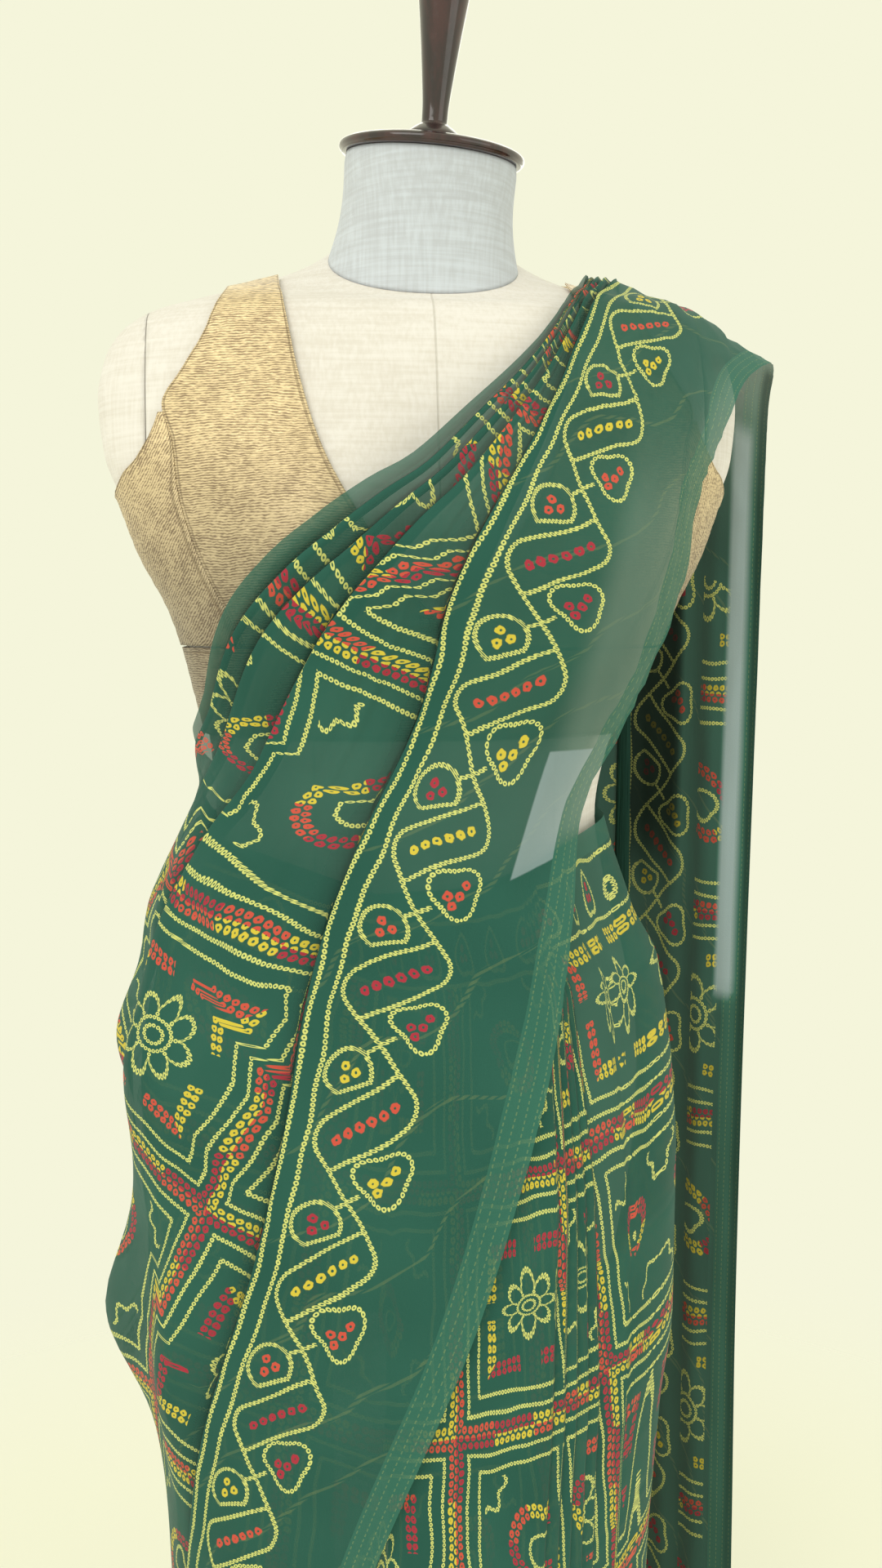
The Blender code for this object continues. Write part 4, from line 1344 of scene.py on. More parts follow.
def turned(profile: Sequence[Pair], place: Matrix, sides: int,
           rounds: int = 5) -> BMesh:
    """A solid turned about +Z from a smooth profile, then put in place.

    Args:
        profile: Pairs of radius and height, from the axis back to the axis.
        place: Where it goes.
        sides: Steps round the axis.
        rounds: Steps between two pairs of the profile.

    Returns:
        The mesh.
    """
    rows = np.array(profile)
    fine = catmull(rows, np.linspace(0, len(rows) - 1, (len(rows) - 1) * rounds + 1))
    shape = bmesh.new()
    corners = [shape.verts.new((max(0.0, r), 0.0, z)) for r, z in fine]
    edges = [shape.edges.new(pair) for pair in zip(corners, corners[1:])]
    bmesh.ops.spin(shape, geom=corners + edges, cent=(0, 0, 0), axis=(0, 0, 1), angle=2 * math.pi,
                   steps=sides, use_merge=True, use_duplicate=False)
    bmesh.ops.remove_doubles(shape, verts=shape.verts, dist=1e-6)
    bmesh.ops.recalc_face_normals(shape, faces=shape.faces)
    bmesh.ops.transform(shape, matrix=place, verts=shape.verts)
    return shape


@dataclass
class DressForm:
    """The padded form, its neck, its wooden disc and handle, and its stand."""

    shape: FormShape
    arm_seam: Pair = (0.181, 1.236)
    gap: float = 0.0003
    neck_base: Triple = (0.064, 0.051, 0.0515)
    neck_top: Triple = (0.0045, -0.010, 1.4815)
    neck_top_radius: float = 0.0565
    neck_lean: Pair = (4.0, 9.0)
    neck_waist: float = 0.05
    pole_radius: float = 0.016
    cap_profile: Line = ((0.0, 0.0), (0.0300, 0.0), (0.0560, 0.0), (0.0600, 0.0012), (0.0615, 0.0036),
                          (0.0598, 0.0062), (0.0520, 0.0080), (0.0250, 0.0085), (0.0, 0.0086))
    handle_profile: Line = ((0.0, 0.0), (0.0100, 0.0), (0.0170, 0.0002), (0.0182, 0.0030), (0.0176, 0.0070),
                             (0.0125, 0.0112), (0.0090, 0.0135), (0.0086, 0.0180), (0.0093, 0.0300),
                             (0.0130, 0.0620), (0.0168, 0.0900), (0.0184, 0.1030), (0.0176, 0.1150),
                             (0.0130, 0.1260), (0.0070, 0.1315), (0.0, 0.1330))
    foot_profile: Line = ((0.0, 0.0), (0.0800, 0.0), (0.1600, 0.0), (0.1650, 0.0030), (0.1640, 0.0090),
                           (0.1500, 0.0130), (0.0600, 0.0200), (0.0300, 0.0280), (0.0260, 0.0500),
                           (0.0, 0.0500))
    plate_profile: Line = ((0.0, 0.0), (0.0700, 0.0), (0.0800, 0.0), (0.0830, 0.0020), (0.0830, 0.0080),
                            (0.0600, 0.0080), (0.0, 0.0080))

    def build(self) -> None:
        """Builds every piece of the form."""
        cover = Linen("linen_cream", (0.876, 0.838, 0.832), (0.769, 0.720, 0.687), True).make()
        # The neck gets the cover's linen in a grey-blue that paints the shade it lies in.
        shaded_linen = Linen("linen_grey_painted_shade", (0.665, 0.715, 0.820), (0.550, 0.580, 0.655)).make()
        wood = Lacquer("dark_lacquer", (0.050, 0.012, 0.014), (0.012, 0.004, 0.006)).make()
        steel = SatinSteel("black_satin").make()
        self._trunk(cover)
        self._arm_caps(cover)
        self._neck(shaded_linen)
        lean = self._lean()
        on_neck = Matrix.Translation(self.neck_top) @ lean @ Matrix.Translation((0, 0, self.gap))
        finish_piece("disc", turned(self.cap_profile, on_neck, 96), wood, ["neck_cap"])
        on_cap = on_neck @ Matrix.Translation((0, 0, self.cap_profile[-1][1] + self.gap))
        finish_piece("turned_handle", turned(self.handle_profile, on_cap, 64), wood, ["handle"])
        self._stand(wood, steel)

    def _trunk(self, cover: Material) -> None:
        """Makes the trunk, cut back where the arm caps are.

        Args:
            cover: Its finish.
        """
        skin = self.shape.skin()
        seam_x, seam_z = self.arm_seam
        for side in (-1, 1):
            for place, normal in (((side * seam_x, 0, 0), (side, 0, 0)), ((0, 0, seam_z), (0, 0, 1))):
                bmesh.ops.bisect_plane(skin, geom=skin.verts[:] + skin.edges[:] + skin.faces[:],
                                       plane_co=place, plane_no=normal, dist=1e-6)
        inside = [f for f in skin.faces if abs(f.calc_center_median().x) > seam_x
                  and f.calc_center_median().z > seam_z]
        bmesh.ops.delete(skin, geom=inside, context="FACES")
        bmesh.ops.holes_fill(skin, edges=[e for e in skin.edges if e.is_boundary], sides=0)
        bmesh.ops.recalc_face_normals(skin, faces=skin.faces)
        finish_piece("form_trunk_skin", skin, cover, ["form_trunk"])

    def _arm_caps(self, cover: Material) -> None:
        """Makes the two arm caps, which meet the trunk at flat seams.

        Args:
            cover: Their finish.
        """
        seam_x, seam_z = self.arm_seam
        for side, name in ((-1, "left"), (1, "right")):
            cap = self.shape.skin()
            for place, normal in (((side * (seam_x + self.gap), 0, 0), (-side, 0, 0)),
                                  ((0, 0, seam_z + self.gap), (0, 0, -1))):
                bmesh.ops.bisect_plane(cap, geom=cap.verts[:] + cap.edges[:] + cap.faces[:], plane_co=place,
                                       plane_no=normal, clear_outer=True, dist=1e-6)
                bmesh.ops.holes_fill(cap, edges=[e for e in cap.edges if e.is_boundary], sides=0)
            bmesh.ops.recalc_face_normals(cap, faces=cap.faces)
            finish_piece("arm_pad_" + name, cap, cover, ["arm_cap_" + name])

    def _lean(self) -> Matrix:
        """The turn that tips the neck's top to the side and forward."""
        side, front = self.neck_lean
        return Matrix.Rotation(math.radians(side), 4, "Y") @ Matrix.Rotation(math.radians(front), 4, "X")

    def _neck(self, shaded_linen: Material) -> None:
        """Makes the neck, from the shaped base to the round top, in linen painted the grey of its shade.

        Args:
            shaded_linen: Its finish.
        """
        half, front, back = self.neck_base
        slope = FORM_SECTIONS[-1, 4]
        base_z = FORM_SECTIONS[-1, 0] + 1.2 * self.gap
        angle = np.linspace(0.0, 2.0 * math.pi, 96, endpoint=False)
        across, along = squared(angle)
        y = -along * np.where(along > 0, front, back)
        low = np.stack((half * across, y, base_z + slope * y), axis=1)
        flat = np.stack((np.sin(angle), -np.cos(angle), np.zeros_like(angle)), axis=1) * self.neck_top_radius
        turn = np.array(self._lean().to_3x3())
        high = np.array(self.neck_top) + flat @ turn.T
        rows = []
        for share in np.linspace(0.0, 1.0, 32):
            waist = 1.0 - self.neck_waist * math.sin(math.pi * min(1.0, share * 1.1))
            middle = np.array((0, 0, base_z)) * (1 - share) + np.array(self.neck_top) * share
            ring = low * (1 - share) + high * share
            ring[:, :2] = middle[:2] + (ring[:, :2] - middle[:2]) * waist
            rows.append(ring)
        finish_piece("neck", wrapped(np.array(rows)), shaded_linen, ["form_neck"])

    def _stand(self, wood: Material, steel: Material) -> None:
        """Makes the plate under the trunk, the pole and the round foot.

        Args:
            wood: The plate's finish.
            steel: The finish of pole and foot.
        """
        plate_z = FORM_SECTIONS[0, 0] - self.gap - self.plate_profile[-1][1]
        finish_piece("under_plate", turned(self.plate_profile, Matrix.Translation((0, 0, plate_z)), 72), wood,
                     ["trunk_plate"])
        foot_top = self.foot_profile[-1][1]
        tall, wide = plate_z - foot_top - 2 * self.gap, self.pole_radius
        half_pole = ((0.0, 0.0), (0.010, 0.0), (wide, 0.0), (wide, 0.002))
        pole = half_pole + tuple((radius, tall - z) for radius, z in reversed(half_pole))
        place = Matrix.Translation((0, 0, foot_top + self.gap))
        finish_piece("stand_pole", turned(pole, place, 48, 1), steel, ["pole"])
        foot = turned(self.foot_profile, Matrix.Identity(4), 96)
        finish_piece("round_foot", foot, steel, ["foot"])


@dataclass(frozen=True)
class GoldCloth:
    """Crinkled cloth with a gold thread."""

    name: str = "gold_cloth"
    across: Pair = (0.0, 1.0)
    pitch: float = 0.0016
    # Two colours: a brown ground, darker as painted shade in the crinkles' hollows, and gold thread, lighter
    # as painted highlight.
    brown_ground_and_hollow_shade: Colour = (0.340, 0.240, 0.150)
    thread: Colour = (0.940, 0.745, 0.460)
    low_shade: Colour = (0.380, 0.400, 0.480)
    shaded_from: Pair = (1.330, 1.130)
    piping_shade: Colour = (0.180, 0.120, 0.070)

    def make(self) -> Material:
        """Builds the material, with crinkles that run across, glints of thread, and painted shade and
        highlight.
        """
        nodes = Nodes(self.name)
        place = nodes.object_place()
        x, y, z = nodes.split(place)
        bent = nodes.noise(place, 22.0, 1.0) * 0.0060 + nodes.noise(place, 190.0, 1.0) * 0.0016
        level = abs(x) * self.across[0] + z * self.across[1] + bent
        rib = (level * (2.0 * math.pi / self.pitch)).sin() * 0.5 + 0.5
        fine = nodes.noise(nodes.join(x * 250.0, y * 250.0, z * 900.0), 1.0, 1.0)
        glint = nodes.noise(place, 1500.0, 1.0)
        cloud = nodes.noise(place, 60.0, 2.0)
        edge = nodes.attribute("edge")
        piping = edge.step(0.30, 0.48) * edge.step(0.74, 0.56)
        height = rib * 0.55 + fine * 0.6 + edge.step(0.45, 0.90) * 1.2 - piping
        # The colour follows the crinkles' relief: painted shade in the hollows and painted highlight on the
        # ridges, besides the threads.
        shade = (rib * 0.22 + fine * 0.53 + cloud * 0.25).step(0.32, 0.62)
        colour = nodes.blend(shade, self.brown_ground_and_hollow_shade, self.thread)
        colour = nodes.blend(z.step(*self.shaded_from) * 0.95, colour, self.low_shade, "MULTIPLY")
        colour = nodes.blend(piping * 0.45, colour, self.piping_shade)
        nodes.set(Base_Color=colour, Metallic=glint.step(0.42, 0.62) * 0.42 + 0.12,
                  Roughness=glint.step(0.35, 0.7) * -0.20 + 0.58, Normal=nodes.bump(height, 0.0007, 0.8))
        return nodes.material


class Side(Enum):
    """A side of the blouse, as someone sees it who looks at its front."""

    LEFT = 1
    RIGHT = -1


@dataclass
class Blouse:
    """The sleeveless blouse: fronts, sides, back, band, and the piping on its edges."""

    form: FormShape
    cloth: float = 0.0012
    front_clear: float = 0.0024
    side_clear: float = 0.0025
    back_clear: float = 0.0018
    band_clear: float = 0.0020
    edge: float = 0.0016
    seam_gap: float = 0.0004
    side_drop: float = 0.004
    side_top_x: float = -0.1712
    under_arm: Line = ((-0.2, 1.2200), (-0.1880, 1.1950))
    back_top: float = 1.4020
    ripple_depth: float = 0.00028

    def build(self, gold: Material, slanted: Material) -> None:
        """Builds every piece of the blouse.

        Args:
            gold: The finish of cloth whose ribs run across.
            slanted: The finish of the sides, whose ribs run down.
        """
        seam_top, base = PRINCESS_SEAM[0][1], BAND_TOP + self.edge
        outer = [p for p in ARMHOLE if p[1] >= seam_top] + list(PRINCESS_SEAM[1:-1])
        outer.append((PRINCESS_SEAM[-1][0], base))
        inner = list(NECKLINE) + [(NECKLINE[-1][0], base)]
        seam = [(x - self.seam_gap, z) for x, z in PRINCESS_SEAM]
        seam[0] = (seam[0][0] - 2 * self.seam_gap, seam[0][1] - self.side_drop)
        seam[-1] = (seam[-1][0], base)
        wide = float(smooth_table(np.array(BAND_TOP), FORM_SECTIONS[:, 0], FORM_SECTIONS[:, 1]))
        under = [(self.side_top_x, seam_top - self.side_drop)]
        under += [p for p in ARMHOLE if p[1] < seam_top - self.side_drop / 2]
        under += [*self.under_arm, (-wide, base)]
        for side in Side:
            name = side.name.lower()
            front = self._between(inner, outer, side, 72, 44)
            self._panel("blouse_front_panel_" + name, front, self.front_clear, ["blouse_front_" + name],
                        gold)
            flank = self._between(seam, under, side, 60, 20)
            self._panel("blouse_side_panel_" + name, flank, self.side_clear, ["blouse_side_" + name],
                        slanted)
        self._panel("blouse_back_panel", self._back(), self.back_clear, ["blouse_back"], gold)
        self._panel("blouse_under_band", self._band(), self.band_clear, ["blouse_band"], gold)

    def _line(self, line: Sequence[Pair], shares: Array) -> Array:
        """A line on the form's front.

        Args:
            line: Its pairs of x and z, from the top down.
            shares: Shares of the way down.

        Returns:
            Angles and heights at those shares.
        """
        heights = np.array([p[1] for p in line])
        z = heights[0] + (heights[-1] - heights[0]) * shares
        x = smooth_table(-z, -heights, np.array([p[0] for p in line]))
        return np.array([(self.form.angle(a, b), b) for a, b in zip(x, z)])

    def _between(self, inner: list, outer: list, side: Side, rows: int, columns: int) -> Array:
        """A grid between two lines on the form's front.

        Args:
            inner: The line nearer the middle, as pairs of x and z.
            outer: The line nearer the side.
            side: The side that the panel is on.
            rows: Steps from the top down.
            columns: Steps from line to line.

        Returns:
            Angles and heights of the grid's points.
        """
        shares = np.linspace(0.0, 1.0, rows + 1)
        near, far = self._line(inner, shares), self._line(outer, shares)
        t = np.linspace(0.0, 1.0, columns + 1)[None, :, None]
        grid = near[:, None] * (1 - t) + far[:, None] * t
        grid[..., 0] *= side.value
        return grid if side is Side.LEFT else grid[:, ::-1]

    def _back(self) -> Array:
        """Angles and heights of the back, from the shoulder line down to the band."""
        heights = np.array([p[1] for p in ARMHOLE])[::-1]
        places = np.array([p[0] for p in ARMHOLE])[::-1]
        grid = []
        for z in np.linspace(self.back_top, BAND_TOP + self.edge, 80):
            start = math.pi / 2.0 + 0.02
            if heights[0] <= z <= heights[-1]:
                wide = float(smooth_table(np.array(z), heights, places))
                start = max(start, abs(self.form.angle(wide, float(z), behind=True)))
            turn = np.linspace(start, 2.0 * math.pi - start, 90)
            grid.append(np.stack((turn, np.full_like(turn, z)), axis=1))
        return np.array(grid)[:, ::-1]

    def _band(self) -> Array:
        """Angles and heights of the band, which opens at the middle of the back."""
        turn, z = np.meshgrid(np.linspace(math.pi - 0.006, -math.pi + 0.006, 150),
                              np.linspace(BAND_TOP, BAND_BOTTOM, 20))
        return np.stack((turn, z), axis=2)

    def _panel(self, name: str, grid: Array, clear: float, nodes: list[str],
               gold: Material) -> None:
        """One panel of cloth, laid on the form and given its thickness.

        Args:
            name: The piece's name.
            grid: Angles and heights of its points.
            clear: Its distance from the form.
            nodes: The CAD nodes that it stands for.
            gold: Its finish.
        """
        tall, wide = grid.shape[:2]
        ripple = waves(grid[..., 1] * 520.0 + waves(grid[..., 0] * 9.0, 4) * 1.6, 6) * self.ripple_depth
        edge = np.minimum(np.arange(tall)[:, None], np.arange(tall)[::-1][:, None])
        ripple *= np.clip(edge / 3.0, 0.0, 1.0)
        shape = bmesh.new()
        bmesh.ops.create_grid(shape, x_segments=wide - 1, y_segments=tall - 1, size=0.5)
        places = self.form.offset(grid[..., 0], grid[..., 1], clear + self.cloth + ripple)
        layer = shape.verts.layers.float.new("edge")
        ends = np.minimum(np.arange(wide), np.arange(wide)[::-1])[None, :]
        rim = np.broadcast_to(np.clip(1.0 - (edge if "band" in name else ends) / 2.0, 0.0, 1.0), (tall, wide))
        for corner in shape.verts:
            i = round((corner.co.y + 0.5) * (tall - 1))
            j = round((corner.co.x + 0.5) * (wide - 1))
            corner.co = places[i, j]
            corner[layer] = rim[i, j]
        shape.normal_update()
        away = sum((f.normal.dot(f.calc_center_median().xy.to_3d()) for f in shape.faces))
        if away < 0:
            bmesh.ops.reverse_faces(shape, faces=shape.faces)
        bmesh.ops.solidify(shape, geom=shape.faces[:], thickness=self.cloth)
        bmesh.ops.recalc_face_normals(shape, faces=shape.faces)
        finish_piece(name, shape, gold, nodes)


@dataclass(frozen=True)
class Track:
    """A line of small ring dots: how far a point is from it, and how far along it."""

    away: Socket
    run: Socket

    def nearer(self, other: "Track") -> "Track":
        """The nearer of two lines."""
        closer = other.away < self.away
        return Track(closer.mix(self.away, other.away), closer.mix(self.run, other.run))

    def within(self, mask: Socket) -> "Track":
        """The line only where the mask is 1."""
        return Track(self.away + (1.0 - mask), self.run)


@dataclass(frozen=True)
class Knots:
    """Large ring dots: how far a point is from the nearest one's middle, and its colour number."""

    away: Socket
    tint: Socket

    def nearer(self, other: "Knots") -> "Knots":
        """The nearer of two sets of dots."""
        closer = other.away < self.away
        return Knots(closer.mix(self.away, other.away), closer.mix(self.tint, other.tint))

    def within(self, mask: Socket) -> "Knots":
        """The dots only where the mask is 1."""
        return Knots(self.away + (1.0 - mask), self.tint)


def rotated(x: Socket, y: Socket, degrees: float) -> tuple[Socket, Socket]:
    """Coordinates turned by an angle."""
    c, s = math.cos(math.radians(degrees)), math.sin(math.radians(degrees))
    return x * c + y * s, y * c - x * s


def nearest_spot(x: Socket, y: Socket, places: Sequence[Pair]) -> Socket:
    """Distance to the nearest of a few places.

    Args:
        x: Place across.
        y: Place up.
        places: Pairs of the spots' own places.

    Returns:
        The distance.
    """
    best: Socket | None = None
    for a, b in places:
        across, up = x - a, y - b
        far = across * across + up * up
        best = far if best is None else best.least(far)
    return best.sqrt()


def leaf_outline(x: Socket, y: Socket, size: float, droop: float = -0.42) -> Track:
    """The outline of a pointed leaf.

    Args:
        x: Place across, 0 at the leaf's middle.
        y: Place up, 0 at the leaf's middle.
        size: Half its width.
        droop: How far its sides are pulled down.

    Returns:
        The outline.
    """
    side = abs(x) * (1.0 / size)
    high = y * (1.0 / size) - side * droop
    low = x * (1.0 / size)
    far = (low * low + high * high).sqrt()
    return Track(abs(far - 1.0) * (size * 0.86), low.angle(high) * size * 1.15)


@dataclass(frozen=True)
class VineBorder:
    """The vine with leaves, hearts and rows of dots, and the two chains along the border's fold."""

    middle: float = 0.1035
    top: float = 0.1350
    fold_chains: float = 0.1432
    chain_half_gap: float = 0.0060
    repeat: float = 0.0948
    start: float = 40.059
    fall: float = 0.89
    fall_cos: float = 1.0 / 1.339
    bar_reach: float = 0.0189
    bar_half_gap: float = 0.0146
    stem_lean: float = 0.0565
    stem_end: float = 0.0356
    link_off: float = 0.0354
    link_middle: float = 0.0313
    link_half: float = 0.0095
    row_pitch: float = 0.0080
    row_ends: Pair = (-3.0, 2.0)
    leaf_turn: float = 120.5
    leaf_along: float = 0.191
    leaf_off: float = 0.0158
    leaf_radius: float = 0.0149
    leaf_base: float = -0.0100
    leaf_dots: Line = ((-0.0006, 0.0052), (0.0046, -0.0014), (-0.0039, -0.0024))
    heart_turn: float = 115.6
    heart_along: float = 0.797
    heart_off: float = -0.0192
    heart_size: float = 0.0160
    heart_corner: float = 0.165
    heart_dots: Line = ((0.0065, 0.0033), (0.0008, -0.0022), (-0.0067, -0.0008), (-0.0051, -0.0075))

    def draw(self, u: Socket, v: Socket) -> tuple[Track, Knots]:
        """Draws the border.

        Args:
            u: Place along the cloth.
            v: Place across it, from the lower selvage.

        Returns:
            Its chains and its large dots.
        """
        w = self.middle - v
        turn = u * (-1.0 / self.repeat) + self.start
        number = turn.floor()
        t = (turn - number) * self.repeat
        along, off = self._slanted(w, t - self.repeat * 0.5)
        vine = self._hooks(along, off)
        knots = Knots(self._dot_row(along, off), (1.0 - number) % 3.0)
        x, y = rotated(t - self.repeat * self.leaf_along, w + self.leaf_off, self.leaf_turn)
        vine = vine.nearer(self._leaf(x, y))
        knots = knots.nearer(Knots(nearest_spot(x, y, self.leaf_dots), -number % 3.0))
        x, y = rotated(t - self.repeat * self.heart_along, w + self.heart_off, self.heart_turn)
        vine = vine.nearer(self._heart(x, y))
        knots = knots.nearer(Knots(nearest_spot(x, y, self.heart_dots), number % 3.0))
        in_border = v < self.top
        edge = Track(abs(abs(v - self.fold_chains) - self.chain_half_gap), u)
        return vine.within(in_border).nearer(edge), knots.within(in_border)

    def _slanted(self, w: Socket, t: Socket) -> tuple[Socket, Socket]:
        """Place along and off a line that runs across the border and falls by a share of its way."""
        return (w - t * self.fall) * self.fall_cos, (t + w * self.fall) * self.fall_cos

    def _dot_row(self, along: Socket, off: Socket) -> Socket:
        """Distance to the nearest of the six dots between the two bars."""
        first, last = self.row_ends
        row = along * (1.0 / self.row_pitch)
        step = (row - ((row - 0.5).round().most(first).least(last) + 0.5)) * self.row_pitch
        return (step * step + off * off).sqrt()

    def _hooks(self, along: Socket, off: Socket) -> Track:
        """Two hooks that lie in each other, each with a stem, a round end, a bar and a link.

        Args:
            along: Place along the slanted line.
            off: Place beside it.

        Returns:
            Their chain.
        """
        side = (along > 0.0) * 2.0 - 1.0
        p, q = abs(along), off * side
        past = (p - self.bar_reach).most(0.0)
        above = q < 0.0
        end = abs((past * past + q * q).sqrt() - self.bar_half_gap) + above
        bar = abs(q + self.bar_half_gap) + (p > self.bar_reach + self.bar_half_gap)
        stem = abs(p - q * self.stem_lean - self.bar_reach - self.bar_half_gap)
        stem = stem + (1.0 - above) + (q < -self.stem_end)
        link = abs(q + self.link_off) + (abs(p - self.link_middle) > self.link_half)
        return Track(end.least(bar).least(stem).least(link), q - p)

    def _leaf(self, x: Socket, y: Socket) -> Track:
        """A leaf drawn as an arch on a straight base."""
        arch = abs(((x * x + y * y).sqrt() - self.leaf_radius).most(self.leaf_base - y))
        return Track(arch, x * 1.3 + y)

    def _heart(self, x: Socket, y: Socket) -> Track:
        """A heart drawn as a loop with three round corners, one of them pointing down.

        Args:
            x: Place across, 0 in the heart's middle.
            y: Place up.

        Returns:
            Its chain.
        """
        far = (x * x + y * y).sqrt()
        turn = -(y / far)
        wave = turn * (turn * turn * 4.0 - 3.0)
        away = abs(far - wave * (self.heart_size * self.heart_corner) - self.heart_size)
        return Track(away, x.angle(y) * self.heart_size)


@dataclass(frozen=True)
class FramedField:
    """Square frames of chains and double rows of dots, with flowers and ovals in them by turns."""

    low: float = 0.1580
    high: float = 1.0550
    first_row: float = 0.1765
    tile: float = 0.182
    chain_middle: float = 0.0720
    chain_half_gap: float = 0.0060
    outer_dots: float = 0.0885
    inner_dots: float = 0.0480
    inner_corner: float = 0.0125
    knot_pitch: float = 0.0064
    row_half_gap: float = 0.0028
    petal_reach: float = 0.0325
    petal_notch: float = 0.052
    flower_radius: float = 0.036
    ring_radius: float = 0.0135
    core_radius: float = 0.0072
    spoke_reach: float = 0.0195
    oval_turn: float = 42.0
    oval_radius: float = 0.0335
    oval_narrow: float = 1.55
    drop_size: float = 0.0125
    corner: float = 0.0600
    corner_radius: float = 0.0230
    corner_wave: float = 0.0030
    dots_end: float = 0.056

    def draw(self, u: Socket, v: Socket) -> tuple[Track, Knots]:
        """Draws the field.

        Args:
            u: Place along the cloth.
            v: Place across it, from the lower selvage.

        Returns:
            Its chains and its large dots.
        """
        a, b = u * (1.0 / self.tile), (v - self.first_row) * (1.0 / self.tile)
        column, row = a.floor(), b.floor()
        x, y = (a - column - 0.5) * self.tile, (b - row - 0.5) * self.tile
        wide, tall = abs(x), abs(y)
        far = wide.most(tall)
        upright = wide > tall
        along = upright.mix(x, y)
        odd = (column + row) % 2.0
        even = 1.0 - odd
        line = Track(abs(abs(far - self.chain_middle) - self.chain_half_gap), along)
        outer_tint = (column + row * 2.0 + (along * 22.0).floor()) % 3.0
        knots = self._double_row(far - self.outer_dots, along, outer_tint)
        inner = self._double_row(abs(far - self.inner_dots), along, (row + upright + 2.0) % 3.0)
        knots = knots.nearer(inner.within((wide.least(tall) > self.inner_corner) * even))
        distance = (x * x + y * y).sqrt()
        flower = self._flower(distance, y.angle(x))
        line = line.nearer(flower.within(even * (distance < self.flower_radius)))
        oval, oval_knots = self._oval(x, y, column)
        line = line.nearer(oval.within(odd * (far < self.corner)))
        knots = knots.nearer(oval_knots.within(odd * (far < self.dots_end)))
        shown = (v > self.low) * (v < self.high)
        return line.within(shown), knots.within(shown)

    def _double_row(self, off: Socket, along: Socket, tint: Socket) -> Knots:
        """Two staggered rows of large dots along a line.

        Args:
            off: Place beside the line.
            along: Place along it.
            tint: The dots' colour number.

        Returns:
            The dots.
        """
        side = (off > 0.0) * 2.0 - 1.0
        across = off - side * self.row_half_gap
        cell = along * (1.0 / self.knot_pitch) + side * 0.25
        length = (cell - cell.round()) * self.knot_pitch
        return Knots((across * across + length * length).sqrt() * 1.2, tint)

    def _flower(self, distance: Socket, heading: Socket) -> Track:
        """A flower of eight pointed petals round two rings.

        Args:
            distance: Distance from its middle.
            heading: Direction from its middle.

        Returns:
            Its chains.
        """
        petal = heading * (8.0 / (2.0 * math.pi))
        fold = abs(petal - petal.round())
        reach = self.petal_reach - fold * fold * self.petal_notch
        petals = Track(abs(distance - reach) * 0.62, fold * 0.0300)
        ring = Track(abs(distance - self.ring_radius), heading * self.ring_radius)
        core = Track(abs(distance - self.core_radius), heading * self.core_radius * 1.05)
        spoke = Track((0.5 - fold) * distance * 0.76, distance)
        spoke = spoke.within((distance < self.spoke_reach) * (distance > self.ring_radius))
        return petals.nearer(ring).nearer(core).nearer(spoke)

    def _oval(self, x: Socket, y: Socket, column: Socket) -> tuple[Track, Knots]:
        """An oval of double dots round a teardrop, and curved steps in the corners.

        Args:
            x: Place along the cloth, 0 in the frame's middle.
            y: Place across it.
            column: The frame's number along the cloth.

        Returns:
            The chains and the large dots.
        """
        lean_x, lean_y = rotated(x, y, self.oval_turn)
        narrow = lean_x * self.oval_narrow
        size = (narrow * narrow + lean_y * lean_y).sqrt()
        turn = lean_y.angle(narrow)
        tint = (column + (turn * 0.9).floor()) % 3.0
        dots = self._double_row((size - self.oval_radius) * 0.8, turn * 0.0275, tint)
        drop = leaf_outline(lean_x, lean_y, self.drop_size)
        corner_x, corner_y = self.corner - abs(x), self.corner - abs(y)
        bend = (corner_x * corner_x + corner_y * corner_y).sqrt()
        swing = corner_y.angle(corner_x)
        wavy = bend - self.corner_radius - (swing * 8.0).sin() * self.corner_wave
        return drop.nearer(Track(abs(wavy) * 0.8, swing * 0.0270)), dots


@dataclass(frozen=True)
class TopBorder:
    """The narrow border under the upper selvage: a chain, and leaves that hang from it."""

    low: float = 1.0580
    repeat: float = 0.058
    leaf_middle: float = 1.0775
    leaf_size: float = 0.0150
    leaf_dots: Line = ((0.0, 0.0040), (-0.0040, -0.0035), (0.0040, -0.0035))
    chain: float = 1.0985
    low_chain: float = 1.0560

    def draw(self, u: Socket, v: Socket) -> tuple[Track, Knots]:
        """Draws the border.

        Args:
            u: Place along the cloth.
            v: Place across it, from the lower selvage.

        Returns:
            Its chains and its large dots.
        """
        cell = u * (1.0 / self.repeat)
        x, y = (cell - cell.round()) * self.repeat, v - self.leaf_middle
        shown = v > self.low
        line = leaf_outline(x, y * 1.1, self.leaf_size).within(shown)
        line = line.nearer(Track(abs(v - self.chain), u)).nearer(Track(abs(v - self.low_chain), u))
        knots = Knots(nearest_spot(x, y, self.leaf_dots), cell.round() % 2.0 + 1.0)
        return line, knots.within(shown)


